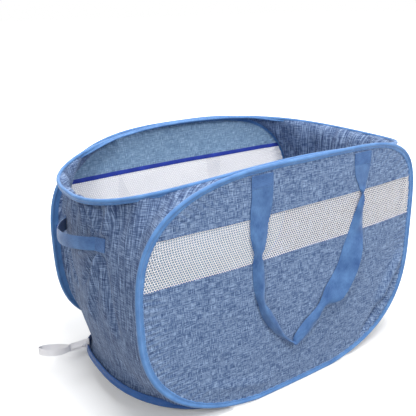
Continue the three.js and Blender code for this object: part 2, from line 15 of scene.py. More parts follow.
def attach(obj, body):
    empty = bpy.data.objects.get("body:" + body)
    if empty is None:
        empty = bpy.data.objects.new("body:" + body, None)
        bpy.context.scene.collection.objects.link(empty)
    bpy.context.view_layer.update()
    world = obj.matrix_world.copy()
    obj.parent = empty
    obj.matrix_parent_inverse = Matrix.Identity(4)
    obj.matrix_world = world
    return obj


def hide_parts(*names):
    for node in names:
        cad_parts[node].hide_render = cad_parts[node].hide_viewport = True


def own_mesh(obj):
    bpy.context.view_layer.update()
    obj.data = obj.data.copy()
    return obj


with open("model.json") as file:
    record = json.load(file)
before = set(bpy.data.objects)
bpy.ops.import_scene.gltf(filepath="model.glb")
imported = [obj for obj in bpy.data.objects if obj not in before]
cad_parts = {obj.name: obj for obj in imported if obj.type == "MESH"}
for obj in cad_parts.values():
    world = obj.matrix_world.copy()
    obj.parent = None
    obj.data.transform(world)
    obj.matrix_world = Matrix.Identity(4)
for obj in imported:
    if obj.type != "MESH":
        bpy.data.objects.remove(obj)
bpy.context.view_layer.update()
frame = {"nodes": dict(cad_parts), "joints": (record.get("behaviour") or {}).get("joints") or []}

MM = 0.001

# Loops, measured between the centres of the wires
WIDTH = 555 * MM
HEIGHT = 389 * MM
DEPTH = 356 * MM
LEAN = 2.3 * MM
PANEL_BOW = 10.4 * MM
RIM_LEFT = 298.5 * MM
RIM_RIGHT = 322 * MM
RIM_DROOP_LEFT = 39.7 * MM
RIM_DROOP_RIGHT = 34.1 * MM
BASE_REACH = 278 * MM
BASE_RISE = 38 * MM
FLAT_DROP = 3 * MM
BEAD_RADIUS = 3.1 * MM
BEAD_PITCH = 8.4 * MM
FRONT_POWERS = (4.88, 3.05, 2.54, 2.71)  # top right, top left, bottom left, bottom right
BACK_POWERS = (2.99, 2.99, 3.05, 3.05)
RIM_POWERS = (3.19, 2.59, 2.59, 3.19)
BASE_POWERS = (2.7, 2.7, 2.7, 2.7)
RISE_POWER = 3
HALF_HEIGHT = HEIGHT / 2
LYING_HALF_DEPTH = DEPTH / 2 - BEAD_PITCH
LOOP_STEPS = 6000  # on the fine copy of a loop that its running length is measured on

# Sewn parts
TAPE_LEG = 8.8 * MM  # from the wire to the edge of the binding tape, at a long panel's sides
TAPE_NARROW = 6.3 * MM  # the same along the mouth and along the top and bottom of a long panel
TAPE_WIDE = 10.6 * MM  # and where the floor's tape stands up against the end cloth
TAPE_BACK = 13.4 * MM  # and where the back panel's tape shows beside the left end cloth
TAPE_NECK = 2.6 * MM
TAPE_HALF = 1.3 * MM  # half the thickness of the sewn edge
CLOTH = 0.8 * MM
EDGE_INSET = 2.6 * MM  # the cloth's cut edge lies this far inside the wire
NET_HEIGHT = 70.5 * MM
NET_TOPS = {"front": 315 * MM, "back": 307 * MM}
STITCH = 2.3 * MM
STITCH_PITCH = 3.4 * MM
STITCH_WIDTH = 0.45 * MM
STRAP = 1.4 * MM
STRAP_SEAT = 1.6 * MM  # from a panel's middle plane to the middle of a strap on it
CLEARANCE = 0.3 * MM
GRIP_HEIGHT = 270.5 * MM
GRIP_WIDTH = 21 * MM
GRIP_SPAN = 160 * MM
GRIP_CENTRE = 28 * MM
GRIP_PATCH = 24 * MM
GRIP_TILT = 23 * MM

fold = next(joint for joint in frame["joints"] if joint["name"] == "fold")
ORIGIN = np.array(fold["pos_m"]) - np.array([0, -LYING_HALF_DEPTH - LEAN, BEAD_RADIUS])
PANELS = {"front": (-1, FRONT_POWERS), "back": (1, BACK_POWERS)}


# Camera and surroundings
CAMERA_PLACE = np.array([-555.96, -770.03, 606.24]) * MM
CAMERA_AZIMUTH = -33.17
CAMERA_ELEVATION = 19.97
CAMERA_ROLL = -1.02
CAMERA_LENS = 48.68
SENSOR_WIDTH = 36
VIEW_NEAR, VIEW_FAR = 0.01, 50
WORLD_LIGHT = 0.38
FLOOR_HALF = 25.0
FLOOR_COLOUR = 0.95  # as a camera sees it
FLOOR_BOUNCE = 0.35  # as it lights the hamper
NEAR_GLOW, FAR_GLOW = 0.1, 0.9
GLOW_START, GLOW_END = 0.5, 1.3  # from the middle, where the glow changes from near to far
LAMPS = {  # place, what the lamp looks at, width of its disk, power
    "key": ((1.4, -2.2, 2.1), (0, 0, 0.2), 0.8, 42),
    "top": ((0.1, -0.8, 2.9), (0, 0, 0.1), 1.6, 50),
    "fill": ((-1.5, -1.1, 1.5), (-0.3, 0, 0.25), 0.4, 13),
    "back": ((0.1, 1.6, 2.5), (0, 0, 0), 1.4, 42),
}


def add_object(name, data):
    made = bpy.data.objects.new(name, data)
    bpy.context.scene.collection.objects.link(made)
    return made


def place_camera():
    """Camera fitted to the photograph. It looks along forward, and right is level before the roll."""
    azimuth, elevation, roll = np.radians([CAMERA_AZIMUTH, CAMERA_ELEVATION, CAMERA_ROLL])
    forward = np.array([-math.sin(azimuth) * math.cos(elevation),
                        math.cos(azimuth) * math.cos(elevation), -math.sin(elevation)])
    level = np.array([math.cos(azimuth), math.sin(azimuth), 0])
    upright = np.cross(level, forward)
    right = math.cos(roll) * level + math.sin(roll) * upright
    up = -math.sin(roll) * level + math.cos(roll) * upright
    data = bpy.data.cameras.new("camera")
    data.sensor_width = SENSOR_WIDTH
    data.lens = CAMERA_LENS
    data.clip_start, data.clip_end = VIEW_NEAR, VIEW_FAR
    camera = add_object("camera", data)
    turn = Matrix(np.column_stack([right, up, -forward]).tolist()).to_4x4()
    camera.matrix_world = Matrix.Translation((CAMERA_PLACE + ORIGIN).tolist()) @ turn
    bpy.context.scene.camera = camera


def add_lamp(name, place, target, size, power):
    """A disk lamp that faces its target."""
    data = bpy.data.lights.new(name, "AREA")
    data.shape = "DISK"
    data.size = size
    data.energy = power
    lamp = add_object(name, data)
    lamp.rotation_euler = (Vector(place) - Vector(target)).to_track_quat("Z", "Y").to_euler()
    lamp.location = place


def for_the_camera(tree, socket, lit, seen):
    """Gives a socket one value for the light it sheds, and another for camera, mirror and glass rays."""
    rays = tree.nodes.new("ShaderNodeLightPath").outputs
    looking = math_node(tree, "MAXIMUM", rays["Is Camera Ray"], rays["Is Glossy Ray"])
    looking = math_node(tree, "MAXIMUM", looking, rays["Is Transmission Ray"])
    mix = tree.nodes.new("ShaderNodeMix")
    mix.data_type = "FLOAT"
    tree.links.new(looking, mix.inputs["Factor"])
    mix.inputs["A"].default_value = lit
    mix.inputs["B"].default_value = seen
    tree.links.new(mix.outputs["Result"], socket)
    return mix


def set_world():
    """A white world that lights the hamper less than it shows."""
    world = bpy.data.worlds.new("studio")
    bpy.context.scene.world = world
    world.use_nodes = True
    background = world.node_tree.nodes["Background"]
    background.inputs["Color"].default_value = (1, 1, 1, 1)
    for_the_camera(world.node_tree, background.inputs["Strength"], WORLD_LIGHT, 1.0)


def add_floor():
    """A wide floor. Camera rays see it pale, and it sheds less light on the hamper than it seems to."""
    mesh = bpy.data.meshes.new("floor")
    corners = [(x * FLOOR_HALF, y * FLOOR_HALF, 0) for x, y in ((-1, -1), (1, -1), (1, 1), (-1, 1))]
    mesh.from_pydata(corners, [], [(0, 1, 2, 3)])
    floor = add_object("floor", mesh)
    material, tree, shader = new_material("floor")
    for_the_camera(tree, shader.inputs["Base Color"], FLOOR_BOUNCE, FLOOR_COLOUR)
    shader.inputs["Roughness"].default_value = 0.9
    shader.inputs["Specular IOR Level"].default_value = 0
    shader.inputs["Emission Color"].default_value = (1, 1, 1, 1)
    mix = for_the_camera(tree, shader.inputs["Emission Strength"], 0.0, NEAR_GLOW)
    away = tree.nodes.new("ShaderNodeVectorMath")
    away.operation = "LENGTH"
    tree.links.new(tree.nodes.new("ShaderNodeTexCoord").outputs["Object"], away.inputs[0])
    fade = tree.nodes.new("ShaderNodeMapRange")
    fade.interpolation_type = "SMOOTHSTEP"
    fade.inputs["From Min"].default_value, fade.inputs["From Max"].default_value = GLOW_START, GLOW_END
    fade.inputs["To Min"].default_value, fade.inputs["To Max"].default_value = NEAR_GLOW, FAR_GLOW
    tree.links.new(away.outputs["Value"], fade.inputs["Value"])
    tree.links.new(fade.outputs["Result"], mix.inputs["B"])
    mesh.materials.append(material)


def set_surroundings():
    set_world()
    for name, values in LAMPS.items():
        add_lamp(name, *values)
    add_floor()
    bpy.context.scene.view_settings.view_transform = "Standard"


# Meshes
SLAB_SHARP = 50  # degrees between faces, past which an edge is sharp
LEAST_FILL = 0.35  # a strip that tapers away counts as less wide, so that it fills this share of its size
LATTICE = 64  # random values along each side of the noise's lattice
LATTICE_SHIFT = 1000.0  # cells from the lattice's corner to the origin


def grid_quads(rows, columns, closed=False):
    """Quads of a grid of points numbered row by row; a closed grid joins its last lines to its first."""
    i = np.arange(rows if closed else rows - 1)[:, None]
    j = np.arange(columns if closed else columns - 1)[None, :]
    i, j = np.broadcast_arrays(i, j)
    i2, j2 = (i + 1) % rows, (j + 1) % columns
    quads = np.stack([i * columns + j, i2 * columns + j, i2 * columns + j2, i * columns + j2], axis=-1)
    return quads.reshape(-1, 4)


def unit(vectors):
    return vectors / np.maximum(np.linalg.norm(vectors, axis=-1, keepdims=True), 1e-12)


def stack(*values):
    """Arrays of one shape, or that widen to one, as the last axis of a new array."""
    return np.stack(np.broadcast_arrays(*values), axis=-1)


def running_length(points):
    """Length along a line of points, from zero at its first."""
    return np.concatenate([[0], np.cumsum(np.linalg.norm(np.diff(points, axis=0), axis=1))])


def make_piece(name, points, faces, material, body, replaces=(), uv=None):
    """Puts points of the maker's frame and lists of their faces into a mesh object that rides on a body."""
    mesh = bpy.data.meshes.new(name)
    mesh.from_pydata((points.reshape(-1, 3) + ORIGIN).tolist(), [], faces)
    if uv is not None:
        corners = np.zeros(len(mesh.loops), np.int32)
        mesh.loops.foreach_get("vertex_index", corners)
        mesh.uv_layers.new(name="cloth").data.foreach_set("uv", uv.reshape(-1, 2)[corners].ravel())
    mesh.materials.append(material)
    mesh.shade_smooth()
    mesh.update()
    piece = add_object(name, mesh)
    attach(piece, body)
    if replaces:
        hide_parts(*replaces)
    return piece


def turn_outwards(piece):
    """Turns a closed mesh's faces outwards, by the sign of its volume."""
    mesh = piece.data
    mesh.calc_loop_triangles()
    corners = np.zeros(len(mesh.loop_triangles) * 3, np.int32)
    mesh.loop_triangles.foreach_get("vertices", corners)
    places = np.zeros(len(mesh.vertices) * 3, np.float32)
    mesh.vertices.foreach_get("co", places)
    a, b, c = places.reshape(-1, 3)[corners.reshape(-1, 3)].transpose(1, 0, 2)
    if (np.cross(a, b) * c).sum() < 0:
        mesh.flip_normals()


def grid_normals(grid):
    """Unit normals of a grid of points: the cross product of its two directions at each point."""
    return unit(np.cross(np.gradient(grid, axis=0), np.gradient(grid, axis=1)))


def slab_faces(rows, columns):
    """Quads of a slab whose upper and lower faces are grids of points, with quads round its rim."""
    count = rows * columns
    quads = grid_quads(rows, columns)
    index = np.arange(count).reshape(rows, columns)
    border = np.concatenate([index[0, :-1], index[:-1, -1], index[-1, :0:-1], index[:0:-1, 0]])
    after = np.roll(border, -1)
    rim = np.stack([border, after, after + count, border + count], axis=-1)
    return np.concatenate([quads, quads[:, ::-1] + count, rim])


def make_slab(name, grid, thickness, material, body, replaces, uv, normals=None):
    """A sheet with thickness, half on each side of its grid of points, with sharp edges round its rim."""
    normals = grid_normals(grid) if normals is None else normals
    points = np.stack([grid + normals * thickness / 2, grid - normals * thickness / 2])
    faces = slab_faces(*grid.shape[:2]).tolist()
    piece = make_piece(name, points, faces, material, body, replaces, np.stack([uv, uv]))
    turn_outwards(piece)
    piece.data.set_sharp_from_angle(angle=math.radians(SLAB_SHARP))
    return piece


def sheet_measures(grid):
    """Greatest length of a grid's columns and rows of points, and its area from its quads' diagonals."""
    down = np.linalg.norm(np.diff(grid, axis=0), axis=-1).sum(axis=0)
    along = np.linalg.norm(np.diff(grid, axis=1), axis=-1).sum(axis=1)
    first = grid[1:, 1:] - grid[:-1, :-1]
    second = grid[:-1, 1:] - grid[1:, :-1]
    area = np.linalg.norm(np.cross(first, second), axis=-1).sum() / 2
    return float(down.max()), float(along.max()), float(area)


def make_cloth(name, grid, materials, body, replaces, uv, normals=None):
    """A sheet of cloth; its inner face has the second material. The size it was cut to is worked out but not
    declared.
    """
    normals = grid_normals(grid) if normals is None else normals
    piece = make_slab(name, grid, CLOTH, materials[0], body, replaces, uv, normals)
    piece.data.materials.append(materials[1])
    inner = np.zeros(len(piece.data.polygons), np.int32)
    count = (grid.shape[0] - 1) * (grid.shape[1] - 1)
    outward = grid.mean(axis=(0, 1)) - np.array([0, 0, HALF_HEIGHT])
    upper_outside = normals.mean(axis=(0, 1)) @ outward > 0
    inner[slice(count, 2 * count) if upper_outside else slice(0, count)] = 1
    piece.data.polygons.foreach_set("material_index", inner)
    length, width, area = sheet_measures(grid)
    width = min(width, area / (LEAST_FILL * length))
    return piece


def lattice_noise(u, v, cell, seed):
    """Smooth noise from -1 to 1: random values on a square lattice, joined by smoothstep weights."""
    values = np.random.default_rng(seed).uniform(-1, 1, (LATTICE, LATTICE))
    u, v = np.asarray(u) / cell + LATTICE_SHIFT, np.asarray(v) / cell + LATTICE_SHIFT
    i, j = np.floor(u).astype(int), np.floor(v).astype(int)
    a, b = u - i, v - j
    a, b = a * a * (3 - 2 * a), b * b * (3 - 2 * b)
    i, j, i2, j2 = i % LATTICE, j % LATTICE, (i + 1) % LATTICE, (j + 1) % LATTICE
    low = values[i, j] * (1 - a) + values[i2, j] * a
    high = values[i, j2] * (1 - a) + values[i2, j2] * a
    return low * (1 - b) + high * b


def smooth_share(value, low, high):
    """How far a value has come from low to high, from 0 to 1 with soft ends."""
    share = np.clip((value - low) / (high - low), 0, 1)
    return share * share * (3 - 2 * share)


# The maker's surfaces
FLOOR_TURN_SHARES = (0.45, 0.95)  # of the way to a loop's end, where its tape turns from lying to upright
RIM_TURN_SHARES = (0.45, 0.85)
RIM_FRONT_SHARES = (0, 0.5)
TAPE_WIDEN_SHARES = (0.6, 0.97)


def corner_power(powers, right, top):
    """The superellipse's power in the corner that a point lies in."""
    top_right, top_left, bottom_left, bottom_right = powers
    return np.where(top, np.where(right, top_right, top_left), np.where(right, bottom_right, bottom_left))


def unit_loop(angle, powers):
    """Superellipse of unit reach: the signed 2/power powers of the angle's cosine and sine."""
    across, up = np.cos(angle), np.sin(angle)
    share = 2 / corner_power(powers, across >= 0, up >= 0)
    return np.sign(across) * np.abs(across) ** share, np.sign(up) * np.abs(up) ** share


def rest_level(height):
    """Height above the ground of a loop's point, with the loop's lowest part pressed flat."""
    return np.maximum(height, FLAT_DROP) - FLAT_DROP + BEAD_RADIUS


def panel_y(side, x, z):
    """Middle plane of a long panel: bowed in towards its ends by a parabola, and leaning a little back."""
    share = (z - BEAD_RADIUS) / HALF_HEIGHT - 1
    return side * (DEPTH / 2 - PANEL_BOW * (x / (WIDTH / 2)) ** 2) + LEAN * share


def panel_loop(side, powers, angle):
    """A long panel's loop: a superellipse in the panel's bowed plane, with its lowest part pressed flat."""
    across, up = unit_loop(angle, powers)
    x = across * WIDTH / 2
    z = rest_level(HALF_HEIGHT * (1 + up))
    return stack(x, panel_y(side, x, z), z)


def rim_height(x):
    """Height of the mouth's loop, which droops by a parabola from its middle to each end."""
    droop = np.where(x < 0, RIM_DROOP_LEFT * (x / RIM_LEFT) ** 2, RIM_DROOP_RIGHT * (x / RIM_RIGHT) ** 2)
    return rest_level(HEIGHT) - droop


def base_height(x):
    """Height of the floor's loop, which rises by the cube of the way out to its ends."""
    return rest_level(BASE_RISE * np.abs(x / BASE_REACH) ** RISE_POWER)


def rim_loop(angle):
    """The mouth's loop: from above a superellipse, longer on the right."""
    across, back = unit_loop(angle, RIM_POWERS)
    x = across * np.where(across < 0, RIM_LEFT, RIM_RIGHT)
    return stack(x, LEAN + back * LYING_HALF_DEPTH, rim_height(x))


def base_loop(angle):
    """The floor's loop: from above a superellipse."""
    across, back = unit_loop(angle, BASE_POWERS)
    x = across * BASE_REACH
    return stack(x, back * LYING_HALF_DEPTH - LEAN, base_height(x))


LOOPS = {
    "front": lambda angle: panel_loop(-1, FRONT_POWERS, angle),
    "back": lambda angle: panel_loop(1, BACK_POWERS, angle),
    "rim": rim_loop,
    "base": base_loop,
}


def even_points(loop, count):
    """Points at even steps round a closed loop, found on a fine copy by its running length."""
    fine = loop(np.linspace(0, 2 * math.pi, LOOP_STEPS + 1))
    reach = running_length(fine)
    target = np.arange(count) / count * reach[-1]
    return stack(*[np.interp(target, reach, fine[:, k]) for k in range(3)]), reach[-1]


def panel_leg(side, points):
    """Towards the panel's middle, in the panel's own bowed plane."""
    x, z = points[..., 0], points[..., 2]
    inward = unit(stack(-x, 0 * x, HALF_HEIGHT - z)) * TAPE_LEG
    inward[..., 1] = panel_y(side, x + inward[..., 0], z + inward[..., 2]) - panel_y(side, x, z)
    return inward


def level_leg(points, reach, middle_y):
    """Towards the middle of a lying loop, at its own height."""
    inward = stack(-points[:, 0] * LYING_HALF_DEPTH / reach, middle_y - points[:, 1], 0 * points[:, 0])
    return unit(inward)


def floor_leg(points):
    """Flat along the long panels, and up against the end cloth at the ends."""
    inward = level_leg(points, BASE_REACH, -LEAN) * TAPE_LEG
    inward[:, 2] = base_height(points[:, 0] + inward[:, 0]) - base_height(points[:, 0])
    raised = smooth_share(np.abs(points[:, 0]) / BASE_REACH, *FLOOR_TURN_SHARES)[:, None]
    return inward * (1 - raised) + np.array([0, 0, TAPE_LEG]) * raised


def rim_leg(points):
    """The mouth's tape hangs down, and turns in where it runs along the back panel."""
    reach = np.where(points[:, 0] < 0, RIM_LEFT, RIM_RIGHT)
    ended = smooth_share(np.abs(points[:, 0]) / reach, *RIM_TURN_SHARES)
    fronted = smooth_share((LEAN - points[:, 1]) / LYING_HALF_DEPTH, *RIM_FRONT_SHARES)
    down = np.maximum(ended, fronted)[:, None]
    return level_leg(points, reach, LEAN) * (1 - down) + np.array([0, 0, -1]) * down


LEGS = {
    "front": lambda points: panel_leg(-1, points),
    "back": lambda points: panel_leg(1, points),
    "rim": rim_leg,
    "base": floor_leg,
}


def tape_reach(name, points):
    """From the wire to the tape's edge at each point of a loop."""
    if name == "rim":
        return np.full(len(points), TAPE_NARROW)
    wide = TAPE_WIDE if name == "base" else TAPE_LEG
    if name == "back":
        wide = np.where(points[:, 0] < 0, TAPE_BACK, TAPE_LEG)
    outer = smooth_share(np.abs(points[:, 0]) / (WIDTH / 2), *TAPE_WIDEN_SHARES)
    return TAPE_NARROW + (wide - TAPE_NARROW) * outer


def loop_frames(points, leg):
    """Along a closed run of points, towards the tape's edge, and across the tape, each of unit length."""
    along = unit(np.roll(points, -1, axis=0) - np.roll(points, 1, axis=0))
    leg = unit(leg - (leg * along).sum(axis=1, keepdims=True) * along)
    return along, leg, np.cross(along, leg)


# Bindings
BINDING_STEPS = 700
TAPE_LIP = 0.9 * MM
BEAD_TURNS = (180, 156, 132, 108, 84, 62, 44)  # degrees round the wire, from the loop's outer side inwards
TAPE_EDGE = (  # out from the wire, and half the thickness there
    (3.2 * MM, TAPE_HALF + 0.25 * MM), (4.6 * MM, TAPE_HALF), (6.4 * MM, TAPE_HALF + 0.1 * MM),
    (TAPE_LEG - 0.5 * MM, TAPE_HALF), (TAPE_LEG, TAPE_LIP / 2),
)
PUCKER = 0.22 * MM
PUCKER_PITCH = 9.1 * MM
PUCKER_DRIFT = 4  # radians that the puckers wander by, over cells of this length
PUCKER_CELL = 50 * MM
TAPE_RIPPLE = 0.25 * MM
TAPE_RIPPLE_CELL = 16 * MM
TAPE_UNEVEN_SHARE = 0.06  # of the tape's width
TAPE_UNEVEN_CELL = 30 * MM
SEAM_INSET = 1.7 * MM  # from the tape's edge to its seam
SEAM_LIFT = 0.12 * MM
SEAM_RIPPLE_SHARE = 0.8  # of the tape's ripple, that its seam follows
THREAD_SINK = 0.45  # how far a stitch's ends go into the cloth, as a share of its width
THREAD_RINGS = (-0.3, 0.3)  # shares of a stitch's length


def tape_outline():
    """The tape's section: a round bead about the wire, a neck and a flat sewn edge, and the same mirrored."""
    bead = [(BEAD_RADIUS * math.cos(a), BEAD_RADIUS * math.sin(a)) for a in np.radians(BEAD_TURNS)]
    half = bead + list(TAPE_EDGE)
    return np.array(half + [(u, -v) for u, v in reversed(half[1:])])


def add_binding(name, material, thread):
    """The tape's section carried round the loop, with fine puckers where it is sewn to the cloth."""
    points, length = even_points(LOOPS[name], BINDING_STEPS)
    along, leg, across = loop_frames(points, LEGS[name](points))
    outline = tape_outline()
    reach = np.arange(BINDING_STEPS) / BINDING_STEPS * length
    seed = len(name)
    phase = 2 * math.pi * reach / PUCKER_PITCH + PUCKER_DRIFT * lattice_noise(reach, 0, PUCKER_CELL, seed)
    ripple = PUCKER * np.sin(phase) + TAPE_RIPPLE * lattice_noise(reach, 0.3, TAPE_RIPPLE_CELL, seed + 1)
    sewn = np.clip(outline[:, 0] / TAPE_LEG, 0, 1)
    wide = tape_reach(name, points)
    uneven = 1 + TAPE_UNEVEN_SHARE * lattice_noise(reach, 0.6, TAPE_UNEVEN_CELL, seed + 2)
    stretch = (wide - TAPE_NECK) / (TAPE_LEG - TAPE_NECK) * uneven
    past_neck = TAPE_NECK + (outline[:, 0] - TAPE_NECK) * stretch[:, None]
    out = np.where(outline[:, 0] > TAPE_NECK, past_neck, outline[:, 0])
    over = outline[None, :, 1] + ripple[:, None] * sewn[None, :]
    grid = points[:, None] + leg[:, None] * out[..., None] + across[:, None] * over[..., None]
    uv = stack(reach[:, None], running_length(outline)[None])
    faces = grid_quads(*grid.shape[:2], closed=True)[:, ::-1].tolist()
    piece = make_piece(f"{name}_tape", grid, faces, material, name, [f"{name}_binding"], uv)
    turn_outwards(piece)
    stitches = round(length / STITCH_PITCH)
    index = ((np.arange(stitches) + 0.5) / stitches * BINDING_STEPS).astype(int)
    seam = (wide[index] - SEAM_INSET)[:, None]
    for label, way in (("inner", -1), ("outer", 1)):
        lift = way * (TAPE_HALF + SEAM_LIFT) + ripple[index] * SEAM_RIPPLE_SHARE
        middles = points[index] + leg[index] * seam + across[index] * lift[:, None]
        add_stitches(f"{name}_{label}_seam", middles, along[index], way * across[index], name, thread)


def add_stitches(name, middles, along, normal, body, material, length=STITCH):
    """Each stitch is a thread with pointed ends: two rings of four points between two tips."""
    side = np.cross(normal, along)
    rings = []
    for share in THREAD_RINGS:
        for angle in np.radians([0, 90, 180, 270]):
            offset = side * math.cos(angle) + normal * math.sin(angle)
            rings.append(middles + along * length * share + offset * STITCH_WIDTH / 2)
    sink = normal * STITCH_WIDTH * THREAD_SINK
    reach = along * length / 2
    points = np.stack([middles - reach - sink, *rings, middles + reach - sink], axis=1)
    turn = np.arange(4)
    after = (turn + 1) % 4
    tips = np.concatenate([stack(0, 1 + after, 1 + turn), stack(9, 5 + turn, 5 + after)])
    walls = stack(1 + turn, 1 + after, 5 + after, 5 + turn)
    first = points.shape[1] * np.arange(len(middles))[:, None, None]
    faces = (tips + first).reshape(-1, 3).tolist() + (walls + first).reshape(-1, 4).tolist()
    turn_outwards(make_piece(name, points, faces, material, body))


# Long panels
PANEL_FOLDS = {  # in millimetres: the two ends of each fold, its width and how far it stands out
    "front": (((252, 122), (166, 34), 6, -11), ((258, 170), (200, 84), 10, 8), ((262, 108), (180, 26), 5, 5),
              ((262, 375), (246, 250), 8, 2.8), ((-180, 60), (-60, 24), 9, 1.6)),
    "back": (((-238, 235), (-205, 105), 6, 3), ((180, 60), (60, 24), 9, 1.6)),
}
EDGE_PUCKER = 0.55 * MM
EDGE_PUCKER_PITCH = 13 * MM
EDGE_PUCKER_FADE = 14 * MM
EDGE_PUCKER_DRIFT = 5  # radians, over cells as long as the tape's
BROAD_WAVE, BROAD_CELL = 1.6 * MM, 110 * MM
FINE_WAVE, FINE_CELL = 0.5 * MM, 30 * MM
WAVE_EDGE = (6 * MM, 40 * MM)  # in from the loop, where the waves set in
FOLD_EDGE = (4 * MM, 14 * MM)
FOLD_START_SHARES, FOLD_END_SHARES = (-0.15, 0.2), (0.8, 1.15)  # of a fold's length, where it rises and dies
PANEL_SEEDS = {"front": 11, "back": 23}
ROUND_SHARE = 1.3  # of the panel's half height, about the radius of a way round its loop
HEM = 0.35 * MM  # how far a turned edge stands out
HEM_HEIGHT = 2.5 * MM
HEM_SEAM = 2.6 * MM  # from the net's edge to the seam beside it
HEM_LIFT = CLOTH / 2 + 0.15 * MM
FINE_STEPS = 4001  # across the panel, to find where its cloth ends
CLOTH_COLUMNS = 300
CLOTH_ROWS = {"upper": 46, "lower": 130}
LEAST_ROOM = 2 * MM  # a cloth's columns end where it gets lower than this


def edge_z(powers, x, inset, top):
    """Height of the cloth's cut edge above or below a place across the panel, from the loop drawn in."""
    share = np.minimum(np.abs(x) / (WIDTH / 2 - inset), 1)
    power = corner_power(powers, x >= 0, np.full(np.shape(x), top))
    bulge = (HALF_HEIGHT - inset) * (1 - share ** power) ** (1 / power)
    height = HALF_HEIGHT + (bulge if top else -bulge)
    return np.maximum(height, FLAT_DROP + inset) - FLAT_DROP + BEAD_RADIUS


def edge_x(powers, z, inset, right):
    """Place across the panel of the loop drawn in, on one side of a height."""
    rise = z - BEAD_RADIUS + FLAT_DROP - HALF_HEIGHT
    power = corner_power(powers, np.full(np.shape(z), right), rise >= 0)
    share = np.minimum(np.abs(rise) / (HALF_HEIGHT - inset), 1)
    reach = (WIDTH / 2 - inset) * (1 - share ** power) ** (1 / power)
    return reach if right else -reach


def edge_distance(powers, x, z):
    """Rough distance in from the loop, from the superellipse through a point, and rough way round it."""
    across, up = x / (WIDTH / 2), (z - BEAD_RADIUS + FLAT_DROP) / HALF_HEIGHT - 1
    power = corner_power(powers, across >= 0, up >= 0)
    level = (np.abs(across) ** power + np.abs(up) ** power) ** (1 / power)
    return (1 - level) * HALF_HEIGHT, np.arctan2(up, across) * HALF_HEIGHT * ROUND_SHARE


def ridge(x, z, start, end, width):
    """A soft fold along a line: a bell curve of the distance to it, fading at both ends."""
    start, end = np.array(start), np.array(end)
    run = end - start
    share = ((x - start[0]) * run[0] + (z - start[1]) * run[1]) / (run @ run)
    away = ((x - start[0]) * run[1] - (z - start[1]) * run[0]) / np.linalg.norm(run)
    fade = smooth_share(share, *FOLD_START_SHARES) * (1 - smooth_share(share, *FOLD_END_SHARES))
    return np.exp(-((away / width) ** 2)) * fade


def panel_relief(name, x, z):
    """How far the cloth stands out: puckers that die away from the binding, broad waves and a few folds."""
    distance, along = edge_distance(PANELS[name][1], x, z)
    seed = PANEL_SEEDS[name]
    drift = EDGE_PUCKER_DRIFT * lattice_noise(along, distance, PUCKER_CELL, seed)
    pucker = EDGE_PUCKER * np.sin(2 * math.pi * along / EDGE_PUCKER_PITCH + drift)
    fade = np.exp(-np.maximum(distance - TAPE_LEG, 0) / EDGE_PUCKER_FADE)
    waves = BROAD_WAVE * lattice_noise(x, z, BROAD_CELL, seed + 1)
    waves = waves + FINE_WAVE * lattice_noise(x, z, FINE_CELL, seed + 2)
    folds = sum(out * MM * ridge(x, z, np.array(start) * MM, np.array(end) * MM, width * MM)
                for start, end, width, out in PANEL_FOLDS[name])
    return (pucker * fade + smooth_share(distance, *WAVE_EDGE) * waves
            + folds * smooth_share(distance, *FOLD_EDGE))


def panel_grid(name, low, high, rows):
    """Cloth between two heights, cut short by the loop, as a grid of columns that close up at the ends."""
    side, powers = PANELS[name]
    reach = WIDTH / 2 - EDGE_INSET
    fine = np.linspace(-reach, reach, FINE_STEPS)
    room = np.minimum(high, edge_z(powers, fine, EDGE_INSET, True))
    room = room - np.maximum(low, edge_z(powers, fine, EDGE_INSET, False))
    inside = fine[room > LEAST_ROOM]
    share = np.sin((np.linspace(0, 1, CLOTH_COLUMNS) - 0.5) * math.pi) / 2 + 0.5
    x = inside[0] + (inside[-1] - inside[0]) * share
    bottom = np.maximum(low, edge_z(powers, x, EDGE_INSET, False))
    top = np.minimum(high, edge_z(powers, x, EDGE_INSET, True))
    z = bottom[:, None] + (top - bottom)[:, None] * np.linspace(0, 1, rows)[None]
    x = np.broadcast_to(x[:, None], z.shape)
    hem = HEM * (np.exp(-((z - low) / HEM_HEIGHT) ** 2) + np.exp(-((high - z) / HEM_HEIGHT) ** 2))
    return stack(x, panel_y(side, x, z) + side * (panel_relief(name, x, z) + hem), z)


def add_panel_cloth(name, cloth, thread):
    """The cloth above and below the net, and the seams that hold the net between them, on both faces."""
    side, powers = PANELS[name]
    net_top = NET_TOPS[name]
    net_low = net_top - NET_HEIGHT
    for part, low, high in (("upper", net_top, HEIGHT + 2 * BEAD_RADIUS), ("lower", 0.0, net_low)):
        grid = panel_grid(name, low, high, CLOTH_ROWS[part])
        make_cloth(f"{name}_{part}_cloth", grid, cloth, name, [f"{name}_{part}_fabric"],
                   grid[..., [0, 2]])
    for label, height in (("upper", net_top + HEM_SEAM), ("lower", net_low - HEM_SEAM)):
        left, right = (edge_x(powers, height, TAPE_LEG, way) for way in (False, True))
        x = np.arange(left, right, STITCH_PITCH)
        z = np.full(x.shape, height)
        for face, way in (("outer", side), ("inner", -side)):
            y = panel_y(side, x, z) + side * panel_relief(name, x, z) + way * HEM_LIFT
            along, normal = np.tile([1.0, 0, 0], (len(x), 1)), np.tile([0, float(way), 0], (len(x), 1))
            add_stitches(f"{name}_{label}_{face}_hem_seam", stack(x, y, z), along, normal, name, thread)


# Net
NET_PITCH = 4.1 * MM
NET_HOLE_SHARES = {"front": 0.71, "back": 0.22}
NET_LAP = 2 * MM
NET_THICKNESS = 0.35 * MM
NET_SINK = 0.45 * MM  # behind the cloth's middle
NET_WELD = 0.05 * MM
SEAM_TAPE_HEIGHT = 8 * MM
SEAM_TAPE = 0.7 * MM
SEAM_TAPE_SHIFT = 2.2 * MM
SEAM_TAPE_CROWN = 0.25 * MM
SEAM_TAPE_INSET = TAPE_LEG - 1.5 * MM
SEAM_TAPE_STEPS = (260, 7)


